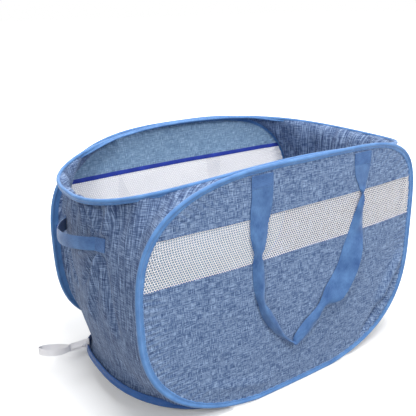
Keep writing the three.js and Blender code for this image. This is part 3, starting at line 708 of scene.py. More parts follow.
def add_net(name, material):
    """Honeycomb of cells, each a ring of six quads about its hole, on the panel's middle surface."""
    side, powers = PANELS[name]
    high = NET_TOPS[name] + NET_LAP
    low = NET_TOPS[name] - NET_HEIGHT - NET_LAP
    row_pitch = NET_PITCH * math.sqrt(3) / 2
    columns, rows = round((WIDTH - 2 * EDGE_INSET) / NET_PITCH), round((high - low) / row_pitch)
    row, column = np.meshgrid(np.arange(rows), np.arange(columns), indexing="ij")
    middle = stack((column + 0.5 + 0.5 * (row % 2)) / (columns + 0.5), (row + 0.5) / rows)
    turn = np.radians(30 + 60 * np.arange(6))
    corners = stack(np.cos(turn) / (columns + 0.5), np.sin(turn) * NET_PITCH / (high - low)) / math.sqrt(3)
    hole_share = NET_HOLE_SHARES[name]
    rings = np.concatenate([corners, corners * hole_share])
    flat = np.clip(middle.reshape(-1, 1, 2) + rings, 0, 1)
    z = low + flat[..., 1] * (high - low)
    left, right = edge_x(powers, z, EDGE_INSET, False), edge_x(powers, z, EDGE_INSET, True)
    x = left + (right - left) * flat[..., 0]
    y = panel_y(side, x, z) + side * (panel_relief(name, x, z) - NET_SINK)
    i = np.arange(6)
    ring = stack(i, (i + 1) % 6, 6 + (i + 1) % 6, 6 + i)
    faces = (ring + len(rings) * np.arange(len(flat))[:, None, None]).reshape(-1, 4).tolist()
    piece = make_piece(f"{name}_net", stack(x, y, z), faces, material, name, [f"{name}_net_band"])
    weld(piece, NET_WELD)
    modifier = piece.modifiers.new("thickness", "SOLIDIFY")
    modifier.thickness = NET_THICKNESS
    modifier.offset = 0


def weld(piece, distance):
    """Merges the points that neighbouring cells share."""
    mesh = bmesh.new()
    mesh.from_mesh(piece.data)
    bmesh.ops.remove_doubles(mesh, verts=mesh.verts, dist=distance)
    mesh.to_mesh(piece.data)
    mesh.free()


def add_seam_tapes(name, material):
    """Tape over each net seam on the panel's inner face, just clear of the cloth and mostly behind it."""
    side, powers = PANELS[name]
    for label, height in (("upper", NET_TOPS[name] + SEAM_TAPE_SHIFT),
                          ("lower", NET_TOPS[name] - NET_HEIGHT - SEAM_TAPE_SHIFT)):
        over = np.linspace(-1, 1, SEAM_TAPE_STEPS[1])
        z = height + over * SEAM_TAPE_HEIGHT / 2
        left, right = (edge_x(powers, z, SEAM_TAPE_INSET, way) for way in (False, True))
        x = left + (right - left) * np.linspace(0, 1, SEAM_TAPE_STEPS[0])[:, None]
        crown = SEAM_TAPE_CROWN * (1 - over ** 2)
        z = np.broadcast_to(z, x.shape)
        y = panel_y(side, x, z) + side * (panel_relief(name, x, z) - CLOTH - SEAM_TAPE / 2 - crown)
        grid = stack(x, y, z)
        make_slab(f"{name}_{label}_seam_binding", grid, SEAM_TAPE, material, name,
                  [f"{name}_{label}_seam_tape"], grid[..., [0, 2]])


# Floor
FLOOR_STEPS = (200, 110)
FLOOR_END = 0.9985  # of the cloth's reach, where its columns end
FLOOR_WAVE = 1.4 * MM
FLOOR_CELL = 70 * MM
FLOOR_EDGE = (8 * MM, 50 * MM)
FLOOR_SEED = 5
FLOOR_SINK = 0.8 * MM


def add_floor_cloth(material):
    """The floor follows the base loop's rise: its height depends on the place across, plus soft waves."""
    reach, depth = BASE_REACH - EDGE_INSET, LYING_HALF_DEPTH - EDGE_INSET
    power = BASE_POWERS[0]
    x = reach * FLOOR_END * np.sin((np.linspace(0, 1, FLOOR_STEPS[0]) - 0.5) * math.pi)
    half = depth * (1 - (np.abs(x) / reach) ** power) ** (1 / power)
    y = half[:, None] * np.linspace(-1, 1, FLOOR_STEPS[1])[None] - LEAN
    x = np.broadcast_to(x[:, None], y.shape)
    calm = smooth_share(half[:, None] - np.abs(y + LEAN), *FLOOR_EDGE)
    waves = np.maximum(FLOOR_WAVE * lattice_noise(x, y, FLOOR_CELL, FLOOR_SEED), -FLOOR_SINK)
    grid = stack(x, y, base_height(x) + calm * waves)
    make_cloth("floor_cloth", grid, material, "base", ["base_panel"], grid[..., :2])


# End cloths
END_SHARE = 0.47  # the end cloth's corners lie where a loop has come this far towards its side
BACK_TAPE_SHARES = {-1: 1.2, 1: 0.2}  # of the tape's leg, where each end cloth is sewn to the back tape
GUSSET_BULGE = 6 * MM
GUSSET_STRIPS = 24
GUSSET_COLUMNS = 170
TRAVEL_STEPS = 300
STRIP_ROWS = 9
EDGE_SHARES = (0.012, 0.988)  # where the cloth's edges lie between the arcs
EVEN_SHARE = 0.15  # of a strip's place that goes by the length of cloth, while the rest goes by travel
YARN_SCALES = np.array([0.75, 0.55])
NEWTON_STEP, NEWTON_ROUNDS = 0.01, 30
GRIP_ENDS = (GRIP_CENTRE - GRIP_SPAN / 2 - GRIP_PATCH / 2, GRIP_CENTRE + GRIP_SPAN / 2 + GRIP_PATCH / 2)
FAN_DEPTH = 1.9
FAN_FOLDS = (  # from each sewn end of the grip: degrees from straight down, then reach, width and depth in mm
    ((18, 150, 7, 5), (38, 120, 6, -4), (62, 90, 6, 3.6), (-12, 140, 8, -3.6), (155, 70, 6, 3.6),
     (128, 60, 5, -3), (-160, 90, 8, 3.4)),
    ((-15, 140, 7, 4), (-40, 110, 6, -3.4), (10, 120, 7, -3), (-155, 70, 6, 3.2), (150, 80, 7, 2.8)),
)
PATCH_REACH_SHARES = (0.75, 0.8)  # of a patch's length and width: how far from its middle it holds the cloth
PATCH_CALM_SHARES = (0.75, 1.25)  # of that reach, where the cloth starts to stand out
HANG_DEPTH = 3.4 * MM
HANG_PITCH = 46 * MM
HANG_DRIFT, HANG_CELL = 2.5, 80 * MM
HANG_START_SHARES, HANG_END_SHARES = (0.55, 0.8), (0.93, 1)  # of the way up
SLACK, SLACK_CELL = 1.8 * MM, 40 * MM
CREASE, CREASE_CELL = 0.8 * MM, 16 * MM
CREASE_STRETCH = 0.5  # slack and creases are twice as high as they are wide
CALM_SHARES = (0.03, 0.14)  # in from the cloth's edges
SLACK_SEED, CREASE_SEED, HANG_SEED = 31, 37, 41


def end_arcs(side, across, up):
    """Points of the four loops' arcs round an end cloth, and how far a place is from each.

    At the back the cloth is sewn along the tape, so that the tape shows beside it.
    """
    turn = math.acos(END_SHARE ** (BACK_POWERS[1] / 2))
    rising, crossing = ((2 * share - 1) * turn for share in (up, across))
    if side < 0:
        rising, crossing = math.pi - rising, math.pi - crossing
    back = LOOPS["back"](rising)
    back = back + panel_leg(1, back) * BACK_TAPE_SHARES[side]
    arcs = (LOOPS["front"](rising), back, LOOPS["base"](crossing), LOOPS["rim"](crossing))
    return arcs, (across, 1 - across, up, 1 - up)


def weigh(values, distances):
    """Mean of the values, each weighed by one over its distance squared."""
    pulls = [1 / np.maximum(distance, 1e-4)[..., None] ** 2 for distance in distances]
    return sum(value * pull for value, pull in zip(values, pulls)) / sum(pulls)


def gusset_surface(side, across, up):
    """End cloth between four arcs of the loops, standing out a little in its middle."""
    surface = weigh(*end_arcs(side, across, up))
    surface[..., 0] += side * GUSSET_BULGE * 16 * across * (1 - across) * up * (1 - up)
    return surface


def folding_share(side, across, up):
    """How much of the mouth's travel a point of the end cloth makes as the hamper folds."""
    arcs, distances = end_arcs(side, across, up)
    front, back = ((arc[..., 2:] - BEAD_RADIUS) / HEIGHT for arc in arcs[:2])
    return weigh((front, back, 0.0, 1.0), distances)[..., 0]


def gusset_place(side, y, z):
    """Across and up of the end cloth at a depth and height, by Newton's steps from the middle."""
    across, up = np.full(np.shape(y), 0.5), np.full(np.shape(y), 0.5)
    step = NEWTON_STEP
    for _ in range(NEWTON_ROUNDS):
        here = gusset_surface(side, across, up)
        du = (gusset_surface(side, across + step, up) - here) / step
        dv = (gusset_surface(side, across, up + step) - here) / step
        det = du[..., 1] * dv[..., 2] - dv[..., 1] * du[..., 2]
        gap_y, gap_z = y - here[..., 1], z - here[..., 2]
        across = np.clip(across + (gap_y * dv[..., 2] - gap_z * dv[..., 1]) / det, step, 1 - step)
        up = np.clip(up + (gap_z * du[..., 1] - gap_y * du[..., 2]) / det, step, 1 - step)
    return across, up


def gusset_x(side, y, z):
    """How far out the end cloth is at a depth and height."""
    across, up = gusset_place(side, y, z)
    return gusset_surface(side, across, up)[..., 0]


def grip_level(y):
    """Height of the grip's middle line, which falls evenly by GRIP_TILT over its span."""
    return GRIP_HEIGHT - GRIP_TILT * (y - GRIP_CENTRE) / GRIP_SPAN


def gusset_relief(side, across, up, y, z):
    """Folds of the end cloth: a fan from each sewn end of the grip, folds under the mouth, and waves."""
    edge = np.minimum(np.minimum(across, 1 - across), np.minimum(up, 1 - up))
    relief = SLACK * lattice_noise(y, z * CREASE_STRETCH, SLACK_CELL, SLACK_SEED + side)
    relief = relief + CREASE * lattice_noise(y, z * CREASE_STRETCH, CREASE_CELL, CREASE_SEED + side)
    sewn = 1.0
    for root_y, folds in zip(GRIP_ENDS, FAN_FOLDS):
        root_z = grip_level(root_y)
        for angle, reach, width, depth in folds:
            heading = math.radians(angle)
            tip = (root_y + reach * MM * math.sin(heading), root_z - reach * MM * math.cos(heading))
            relief = relief + FAN_DEPTH * depth * MM * ridge(y, z, (root_y, root_z), tip, width * MM)
        away_y = np.abs(y - root_y) / (GRIP_PATCH * PATCH_REACH_SHARES[0])
        away_z = np.abs(z - root_z) / (GRIP_WIDTH * PATCH_REACH_SHARES[1])
        sewn = sewn * smooth_share(np.maximum(away_y, away_z), *PATCH_CALM_SHARES)
    hang = HANG_DEPTH * smooth_share(up, *HANG_START_SHARES) * (1 - smooth_share(up, *HANG_END_SHARES))
    phase = 2 * math.pi * y / HANG_PITCH + HANG_DRIFT * lattice_noise(y, z, HANG_CELL, HANG_SEED + side)
    return (relief + hang * np.sin(phase)) * smooth_share(edge, *CALM_SHARES) * sewn


def gusset_rows(side, across):
    """Heights of the rows that cut an end cloth along lines of equal travel, for each column."""
    fine = np.linspace(*EDGE_SHARES, TRAVEL_STEPS)[None]
    across, up = np.broadcast_arrays(across, fine)
    steps = np.linalg.norm(np.diff(gusset_surface(side, across, up), axis=1), axis=-1)
    reach = np.concatenate([np.zeros((len(steps), 1)), np.cumsum(steps, axis=1)], axis=1)
    travelled = folding_share(side, across, up)
    travelled = np.maximum.accumulate(travelled, axis=1) - travelled[:, :1]
    level = EVEN_SHARE * reach / reach[:, -1:] + (1 - EVEN_SHARE) * travelled / travelled[:, -1:]
    share = np.linspace(0, 1, GUSSET_STRIPS * (STRIP_ROWS - 1) + 1)
    return np.stack([np.interp(share, line, fine[0]) for line in level])


def add_gusset(label, side, material):
    """The end cloth in strips along lines of equal travel in the fold, each on the base; the travel worked
    out here is not used.
    """
    across = np.linspace(*EDGE_SHARES, GUSSET_COLUMNS)[:, None]
    up = gusset_rows(side, across)
    across = np.broadcast_to(across, up.shape)
    surface = gusset_surface(side, across, up)
    normals = grid_normals(surface)
    normals *= np.sign(normals[..., :1]) * side
    relief = gusset_relief(side, across, up, surface[..., 1], surface[..., 2])
    surface = surface + normals * relief[..., None]
    normals = grid_normals(surface)
    turned = surface[..., 1] * (1 + (RIM_LEFT - np.abs(surface[..., 0])) / LYING_HALF_DEPTH)
    uv = stack(surface[..., 2], turned) * YARN_SCALES
    limit = math.radians(fold["range_deg"][1])
    travel = HEIGHT * np.array([0, math.sin(limit), math.cos(limit) - 1])
    way, length = unit(travel), np.linalg.norm(travel)
    follow = folding_share(side, across, up)
    for k in range(GUSSET_STRIPS):
        part = slice(k * (STRIP_ROWS - 1), (k + 1) * (STRIP_ROWS - 1) + 1)
        piece = make_cloth(f"{label}_gusset_{k + 1:02d}", surface[:, part], material, "base",
                           [f"{label}_gusset"], uv[:, part],
                           normals[:, part])
        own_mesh(piece)


# Handles
STRAP_WIDTH = 38 * MM
HANDLE_FOLDS = {"front": 359 * MM, "back": 350 * MM}
HANDLE_LEFT = -75 * MM
HANDLE_RIGHT = 132 * MM
HANDLE_DROP = 281 * MM
HANDLE_CURL = 11 * MM  # how far a strap turned on edge stands out, where it isn't loose
HANDLE_CUP = 9 * MM  # how far a narrowed strap swells
CUP_EDGE_SHARE = 0.25  # of that, where the strap is turned on edge
RIPPLE_FLAT_SHARE = 0.2  # of the ripple, where the strap is at its full width
LEAST_WIDTH_SHARE = 0.1
HANDLE_RIPPLE, HANDLE_CELL, HANDLE_SEED = 1.4 * MM, 14 * MM, 7
HANGING_SHARES = (0.8, 0.87)  # of the way up, where the strap stops swelling towards its folds
LOOSE_ACROSS_SHARES, LOOSE_UP_SHARES = (0.6, 0.72), (0.5, 0.68)
HANDLE_STEPS, STRAP_STEPS, TAIL_STEPS = 420, 13, (25, 15)
# Across from the left fold, up from the lowest point, twist in degrees, share of the width
HANDLE_SHARES = np.array([
    [0, 1, 0, 1], [-0.004, 0.93, 0, 1], [-0.015, 0.875, 0, 0.97], [-0.028, 0.81, 5, 0.84],
    [-0.035, 0.735, 20, 0.75], [-0.04, 0.679, 45, 0.65], [-0.045, 0.645, 60, 0.55], [-0.045, 0.595, 50, 0.62],
    [-0.04, 0.537, 45, 0.66], [-0.033, 0.462, 45, 0.62], [-0.025, 0.398, 55, 0.55], [-0.008, 0.348, 60, 0.5],
    [0.03, 0.285, 50, 0.6], [0.09, 0.205, 50, 0.6], [0.16, 0.13, 60, 0.5], [0.235, 0.065, 75, 0.42],
    [0.3, 0.022, 85, 0.4], [0.33, 0.012, 115, 0.5], [0.36, 0.035, 135, 0.62], [0.45, 0.09, 140, 0.7],
    [0.54, 0.139, 140, 0.62], [0.6, 0.185, 130, 0.5], [0.64, 0.215, 140, 0.62], [0.7, 0.255, 150, 0.95],
    [0.78, 0.32, 150, 1], [0.85, 0.4, 150, 1], [0.905, 0.5, 155, 0.97], [0.955, 0.59, 165, 0.82],
    [0.985, 0.7, 180, 0.55], [1, 0.77, 205, 0.38], [1.01, 0.828, 270, 0.28], [1.01, 0.865, 350, 0.4],
    [1.008, 0.9, 360, 0.58], [1, 0.95, 360, 0.88], [1, 1, 360, 1],
])
TAIL_INSET = TAPE_LEG - 1 * MM  # from the wire to the tail's upper edge
BOX_INSET = 2.5 * MM  # from a tail's edge to its stitched box
BOX_STITCH = 2.1 * MM
BOX_PITCH = 2.8 * MM
BOX_LIFT = STRAP_SEAT + STRAP / 2 + 0.1 * MM


def smooth_table(table, count):
    """Smooth curve through a table's rows: cubic pieces whose slopes are the neighbours' mean slopes."""
    reach = np.concatenate([[0], np.cumsum(np.linalg.norm(np.diff(table[:, :2], axis=0), axis=1) + 1e-6)])
    slope = np.gradient(table, reach, axis=0)
    at = np.linspace(0, reach[-1], count)
    k = np.clip(np.searchsorted(reach, at, side="right") - 1, 0, len(reach) - 2)
    h = (reach[k + 1] - reach[k])[:, None]
    t = (at - reach[k])[:, None] / h
    return ((2 * t ** 3 - 3 * t ** 2 + 1) * table[k] + (t ** 3 - 2 * t ** 2 + t) * h * slope[k]
            + (3 * t ** 2 - 2 * t ** 3) * table[k + 1] + (t ** 3 - t ** 2) * h * slope[k + 1])


def handle_grid(name):
    """Strap along the handle's middle line; its edges swing out of the panel's plane with the twist."""
    side = PANELS[name][0]
    across, up, turned, narrowed = smooth_table(HANDLE_SHARES, HANDLE_STEPS).T[..., None]
    middle_x = HANDLE_LEFT + across * (HANDLE_RIGHT - HANDLE_LEFT)
    middle_z = HANDLE_FOLDS[name] - CLEARANCE - HANDLE_DROP + up * HANDLE_DROP
    steps = np.gradient(np.concatenate([middle_x, middle_z], axis=1), axis=0)
    run = unit(steps)
    run[0], run[-1] = (0, -1), (0, 1)
    twist = np.radians(turned)
    width = np.clip(narrowed, LEAST_WIDTH_SHARE, 1) * STRAP_WIDTH
    t = np.linspace(-0.5, 0.5, STRAP_STEPS)[None]
    offset = t * width * np.cos(twist)
    lift = t * np.sin(twist) + np.abs(np.sin(twist)) / 2
    x = -side * (middle_x - run[:, 1:] * offset)
    z = middle_z + run[:, :1] * offset
    bent = 1 - np.clip(narrowed, 0, 1)
    cup = HANDLE_CUP * bent * (1 - 4 * t ** 2) * (CUP_EDGE_SHARE + np.abs(np.cos(twist)))
    reach = np.cumsum(np.linalg.norm(steps, axis=1))[:, None]
    ripple = lattice_noise(reach, t * STRAP_WIDTH, HANDLE_CELL, HANDLE_SEED)
    ripple = HANDLE_RIPPLE * (RIPPLE_FLAT_SHARE + bent) * ripple
    hanging = 1 - smooth_share(up, *HANGING_SHARES)
    loose = smooth_share(across, *LOOSE_ACROSS_SHARES) * (1 - smooth_share(up, *LOOSE_UP_SHARES))
    curl = HANDLE_CURL + (STRAP_WIDTH - HANDLE_CURL) * loose
    out = STRAP_SEAT + width / STRAP_WIDTH * curl * lift + (cup + ripple) * hanging
    return stack(x, side * (np.abs(panel_y(side, x, z)) + out), z), stack(reach, t * STRAP_WIDTH)


def add_handle(name, webbing, tail_cloth, thread):
    """A strap that hangs in front of its panel, and the two tails that it is sewn on with."""
    side, powers = PANELS[name]
    grid, uv = handle_grid(name)
    body = f"{name}_handle"
    make_slab(f"{name}_handle_strap", grid, STRAP, webbing, body, [f"{name}_handle"], uv)
    low = HANDLE_FOLDS[name]
    for label, x in (("left", HANDLE_LEFT), ("right", HANDLE_RIGHT)):
        outer = x + math.copysign(STRAP_WIDTH / 2, x)
        top = float(edge_z(powers, np.array(-side * outer), TAIL_INSET, True))
        across = -side * (x + np.linspace(-0.5, 0.5, TAIL_STEPS[0]) * STRAP_WIDTH)[:, None]
        across, up = np.broadcast_arrays(across, np.linspace(low, top, TAIL_STEPS[1])[None])
        tail = stack(across, panel_y(side, across, up) + side * STRAP_SEAT, up)
        make_slab(f"{name}_{label}_tail", tail, STRAP, tail_cloth, name,
                  [f"{name}_handle_tail_{label}"], tail[..., [0, 2]])
        places, headings = stitched_box(STRAP_WIDTH - 2 * BOX_INSET, top - low - 2 * BOX_INSET)
        px, pz = -side * x + places[:, 0], (low + top) / 2 + places[:, 1]
        middles = stack(px, panel_y(side, px, pz) + side * BOX_LIFT, pz)
        along = stack(headings[:, 0], 0, headings[:, 1])
        normal = np.tile([0, float(side), 0], (len(middles), 1))
        add_stitches(f"{name}_{label}_tail_seam", middles, along, normal, name, thread, BOX_STITCH)


def stitched_box(width, height):
    """Places and headings of the stitches in a box with its two diagonals, about its middle."""
    corners = np.array([(-1, -1), (1, -1), (1, 1), (-1, 1)]) * np.array([width / 2, height / 2])
    places, headings = [], []
    for start, end in ((0, 1), (1, 2), (2, 3), (3, 0), (0, 2), (1, 3)):
        run = corners[end] - corners[start]
        count = max(int(np.linalg.norm(run) / BOX_PITCH), 1)
        places.append(corners[start] + run * ((np.arange(count) + 0.5) / count)[:, None])
        headings.append(np.tile(unit(run), (count, 1)))
    return np.concatenate(places), np.concatenate(headings)


# End grips
GRIP_BULGE = 22 * MM
GRIP_ARCH_POWER = 0.8
GRIP_CUP = 1.6 * MM
GRIP_STEPS, PATCH_STEPS = 90, (19, 17)
GRIP_GAP = CLEARANCE + 0.5 * MM
PATCH_INSET = 2.4 * MM


def add_grip(label, side, webbing, tail_cloth, thread):
    """Webbing that stands off the end cloth in an arch between two sewn patches."""
    low, high = GRIP_CENTRE - GRIP_SPAN / 2, GRIP_CENTRE + GRIP_SPAN / 2
    share = np.linspace(0, 1, GRIP_STEPS)[:, None]
    t = np.linspace(-0.5, 0.5, STRAP_STEPS)[None]
    y = low + (high - low) * share + 0 * t
    z = grip_level(y) + t * GRIP_WIDTH
    arch = GRIP_BULGE * np.sin(math.pi * share) ** GRIP_ARCH_POWER
    cup = GRIP_CUP * np.sin(math.pi * share) * (1 - 4 * t ** 2)
    grid = stack(gusset_x(side, y, z) + side * (STRAP_SEAT + arch + cup), y, z)
    uv = stack(running_length(grid[:, STRAP_STEPS // 2])[:, None], t * GRIP_WIDTH)
    make_slab(f"{label}_grip_strap", grid, STRAP, webbing, f"{label}_grip", [f"{label}_grip"], uv)
    mount = f"{label}_grip_mount"
    for end, start in (("front", low - GRIP_GAP - GRIP_PATCH), ("rear", high + GRIP_GAP)):
        y = np.linspace(start, start + GRIP_PATCH, PATCH_STEPS[0])[:, None]
        y, t = np.broadcast_arrays(y, np.linspace(-0.5, 0.5, PATCH_STEPS[1])[None])
        z = grip_level(y) + t * GRIP_WIDTH
        patch = stack(gusset_x(side, y, z) + side * STRAP_SEAT, y, z)
        make_slab(f"{label}_grip_{end}_patch", patch, STRAP, tail_cloth, mount,
                  [f"{label}_grip_patch_{end}"], patch[..., 1:])
        places, headings = stitched_box(GRIP_PATCH - 2 * PATCH_INSET, GRIP_WIDTH - 2 * PATCH_INSET)
        py = start + GRIP_PATCH / 2 + places[:, 0]
        pz = grip_level(py) + places[:, 1]
        middles = stack(gusset_x(side, py, pz) + side * BOX_LIFT, py, pz)
        along = stack(0, headings[:, 0], headings[:, 1])
        normal = np.tile([float(side), 0, 0], (len(middles), 1))
        add_stitches(f"{label}_grip_{end}_seam", middles, along, normal, mount, thread, BOX_STITCH)


# Elastic tie
TIE_WIDTH = 10.4 * MM
TIE_THICKNESS = 1.1 * MM
TIE_DEPTH = 62 * MM  # how far back of the middle it is sewn in
TIE_TAIL = 29.5 * MM
TIE_LOOP = 54 * MM
TIE_LOOP_WIDTH = 26 * MM
TIE_SAG = 5 * MM
TIE_RISE = 14.5 * MM  # above the floor's wire
TIE_SPREAD = 3.2 * MM  # its two ends are sewn in this far above and below its middle
TIE_ROOT = -2.5 * MM  # its ends start this far inside the seam
TIE_TURNS = (188, 532)  # degrees round the loop, from one run that joins it to the other
TIE_BLEND = 3 * MM
TIE_GAP = TIE_THICKNESS * 0.7  # from the middle between its two runs to each
TIE_LOOP_STEPS, TIE_TAIL_STEPS, TIE_ACROSS_STEPS = 120, 30, 7
TIE_LEAN_SHARE = 0.8  # of its width, that a band on its side spreads sideways
TIE_TILT = 0.62  # radians that the band leans over all along
TIE_ROOT_TILT, TIE_ROOT_SHARES = 0.4, (0.22, 0.16)  # more near its root: where most, and over how long
TIE_WAVE_TILT, TIE_WAVE_TURN, TIE_WAVE_START = 0.3, 9, 0.4  # and in waves
TIE_TWIST_SHARES = (0.0, 0.15)  # of its length, where it turns over from the seam


def add_tie(material):
    """Flat elastic along a drop-shaped line: out from the seam, round a loop and back below itself."""
    power = BASE_POWERS[0]
    inset = TIE_DEPTH / LYING_HALF_DEPTH
    reach = BASE_REACH * (1 - inset ** power) ** (1 / power)
    slope = (reach / BASE_REACH / inset) ** (power - 1)
    heading = math.pi - math.atan2(BASE_REACH, LYING_HALF_DEPTH * slope)
    turn = np.radians(np.linspace(*TIE_TURNS, TIE_LOOP_STEPS))
    ring_out = TIE_TAIL + TIE_LOOP / 2 + (TIE_LOOP / 2 - TIE_THICKNESS) * np.cos(turn)
    ring_over = -(TIE_LOOP_WIDTH / 2 - TIE_THICKNESS) * np.sin(turn)
    lead = np.linspace(TIE_ROOT, ring_out[0] - TIE_BLEND, TIE_TAIL_STEPS)
    gap = np.full(TIE_TAIL_STEPS, TIE_GAP)
    along = np.concatenate([lead, ring_out, lead[::-1]])
    over = np.concatenate([gap, ring_over, -gap])
    share = (along - TIE_ROOT) / (TIE_TAIL + TIE_LOOP)
    drop = -TIE_SAG * np.sin(math.pi * np.clip(share, 0, 1))
    tilt = TIE_TILT + TIE_ROOT_TILT * np.exp(-((share - TIE_ROOT_SHARES[0]) / TIE_ROOT_SHARES[1]) ** 2)
    tilt = tilt + TIE_WAVE_TILT * np.sin(TIE_WAVE_TURN * share + TIE_WAVE_START)
    tilt = tilt * smooth_share(share, *TIE_TWIST_SHARES)
    line = stack(along, over)
    steps = np.gradient(line, axis=0)
    run = unit(steps)
    t = np.linspace(-0.5, 0.5, TIE_ACROSS_STEPS)[None]
    width = t * TIE_WIDTH
    lean = -run[:, :1] * TIE_LEAN_SHARE * np.sin(tilt)[:, None]
    flat_along = along[:, None] - run[:, 1:] * width * lean
    flat_over = over[:, None] + run[:, :1] * width * lean
    x = -reach + flat_along * math.cos(heading) - flat_over * math.sin(heading)
    y = TIE_DEPTH - LEAN + flat_along * math.sin(heading) + flat_over * math.cos(heading)
    distance = np.cumsum(np.linalg.norm(steps, axis=1))
    spread = TIE_SPREAD * np.cos(math.pi * distance / distance[-1])
    z = base_height(reach) + TIE_RISE + (drop + spread)[:, None] + width * np.sqrt(1 - lean ** 2)
    uv = stack(distance[:, None], t * TIE_WIDTH)
    make_slab("elastic_tie", stack(x, y, z), TIE_THICKNESS, material, "tie_loop", ["tie_loop"], uv)


# Effects that more than one material uses
FLECKS_BOTH_WAYS = ((1250, 90, 1), (90, 1250, 1))  # cells in a metre along the cloth's two axes
LONG_FLECKS = (26, 560, 1)
MOTTLE, MOTTLE_SHARE = 34, 0.12
FLECK_MEAN = 1.06
THREAD_PITCH = 0.9 * MM
TAPE_YARN = (180, 1500, 1)
TAPE_MOTTLE = 42
GRAIN_DEPTH = {"textile": 0.3 * MM, "plain": 0.2 * MM}


def new_group(name, values):
    """A shader node group with a Vector and named numbers in, and a Tone and a Height out."""
    group = bpy.data.node_groups.new(name, "ShaderNodeTree")
    group.interface.new_socket(name="Vector", in_out="INPUT", socket_type="NodeSocketVector")
    for label, value in values.items():
        socket = group.interface.new_socket(name=label, in_out="INPUT", socket_type="NodeSocketFloat")
        socket.default_value = value
    for label in ("Tone", "Height"):
        group.interface.new_socket(name=label, in_out="OUTPUT", socket_type="NodeSocketFloat")
    return group, group.nodes.new("NodeGroupInput").outputs, group.nodes.new("NodeGroupOutput").inputs


def math_node(tree, operation, *values):
    """A Math node whose inputs are numbers or other nodes' outputs."""
    node = tree.nodes.new("ShaderNodeMath")
    node.operation = operation
    for socket, value in zip(node.inputs, values):
        if isinstance(value, (int, float)):
            socket.default_value = value
        else:
            tree.links.new(value, socket)
    return node.outputs[0]


def noise(tree, vector, scale, detail=2.0, roughness=0.5):
    """Noise with one scale for all three axes, or one for each."""
    if isinstance(scale, tuple):
        stretch = tree.nodes.new("ShaderNodeVectorMath")
        stretch.operation = "MULTIPLY"
        tree.links.new(vector, stretch.inputs[0])
        stretch.inputs[1].default_value = scale
        vector, scale = stretch.outputs[0], 1
    node = tree.nodes.new("ShaderNodeTexNoise")
    node.inputs["Scale"].default_value = scale
    node.inputs["Detail"].default_value = detail
    node.inputs["Roughness"].default_value = roughness
    tree.links.new(vector, node.inputs["Vector"])
    return node.outputs["Fac"]


def thread_waves(tree, vector, axis, pitch):
    """Sine of the place along one axis: one wave for each thread or rib."""
    split = tree.nodes.new("ShaderNodeSeparateXYZ")
    tree.links.new(vector, split.inputs[0])
    turns = math_node(tree, "DIVIDE", split.outputs[axis], pitch)
    return math_node(tree, "SINE", math_node(tree, "MULTIPLY", turns, 2 * math.pi))


def heather_group():
    """Woven cloth of mixed yarns: short flecks both ways, long ones along the first axis, and a mottle."""
    group, given, made = new_group("heather_weave", {"Contrast": 1.0, "Streaks": 0.4})
    vector = given["Vector"]
    both = math_node(group, "ADD", *[noise(group, vector, scale) for scale in FLECKS_BOTH_WAYS])
    swing = math_node(group, "SUBTRACT", noise(group, vector, LONG_FLECKS), 0.5)
    more = math_node(group, "MULTIPLY_ADD", swing, given["Streaks"], both)
    total = math_node(group, "MULTIPLY_ADD", noise(group, vector, MOTTLE, 3, 0.6), MOTTLE_SHARE, more)
    centred = math_node(group, "SUBTRACT", total, FLECK_MEAN)
    group.links.new(math_node(group, "MULTIPLY_ADD", centred, given["Contrast"], 0.5), made["Tone"])
    across, along = (thread_waves(group, vector, axis, THREAD_PITCH) for axis in (0, 1))
    weave = math_node(group, "MULTIPLY", across, along)
    group.links.new(math_node(group, "MULTIPLY_ADD", both, 0.8, weave), made["Height"])
    return group


def ribbed_group():
    """Tape or webbing: fine ribs across it, yarn along it and a soft change of tone."""
    group, given, made = new_group("ribbed_tape", {"Rib": 1.1 * MM})
    vector = given["Vector"]
    ribs = thread_waves(group, vector, 0, given["Rib"])
    yarn = noise(group, vector, TAPE_YARN)
    mixed = math_node(group, "MULTIPLY_ADD", yarn, 0.6, noise(group, vector, TAPE_MOTTLE, 3))
    group.links.new(math_node(group, "SUBTRACT", mixed, 0.3), made["Tone"])
    group.links.new(math_node(group, "MULTIPLY_ADD", yarn, 0.7, ribs), made["Height"])
    return group


HEATHER = heather_group()
RIBBED = ribbed_group()


# Materials
def new_material(name):
    """A material with its node tree and its Principled shader."""
    material = bpy.data.materials.new(name)
    material.use_nodes = True
    return material, material.node_tree, material.node_tree.nodes["Principled BSDF"]


def roughen(tree, shader, height, strength, distance):
    """Bumps a shader's surface by a height that changes over it."""
    relief = tree.nodes.new("ShaderNodeBump")
    relief.inputs["Strength"].default_value = strength
    relief.inputs["Distance"].default_value = distance
    tree.links.new(height, relief.inputs["Height"])
    tree.links.new(relief.outputs["Normal"], shader.inputs["Normal"])


def textile(name, group, colours, roughness, bump, sheen=0.0, **settings):
    """A material whose tone runs through a ramp of colours, with bump from the same group."""
    material, tree, shader = new_material(name)
    place = tree.nodes.new("ShaderNodeUVMap")
    place.uv_map = "cloth"
    effect = tree.nodes.new("ShaderNodeGroup")
    effect.node_tree = group
    tree.links.new(place.outputs["UV"], effect.inputs["Vector"])
    for label, value in settings.items():
        effect.inputs[label].default_value = value
    ramp = tree.nodes.new("ShaderNodeValToRGB")
    marks = ramp.color_ramp.elements
    marks[0].position, marks[1].position = colours[0][0], colours[-1][0]
    for position, _ in colours[1:-1]:
        marks.new(position)
    for mark, (_, colour) in zip(marks, colours):
        mark.color = (*colour, 1)
    tree.links.new(effect.outputs["Tone"], ramp.inputs["Fac"])
    tree.links.new(ramp.outputs["Color"], shader.inputs["Base Color"])
    roughen(tree, shader, effect.outputs["Height"], bump, GRAIN_DEPTH["textile"])
    shader.inputs["Roughness"].default_value = roughness
    shader.inputs["Specular IOR Level"].default_value = 0.3
    if sheen:
        shader.inputs["Sheen Weight"].default_value = sheen
        shader.inputs["Sheen Roughness"].default_value = 0.4
    return material


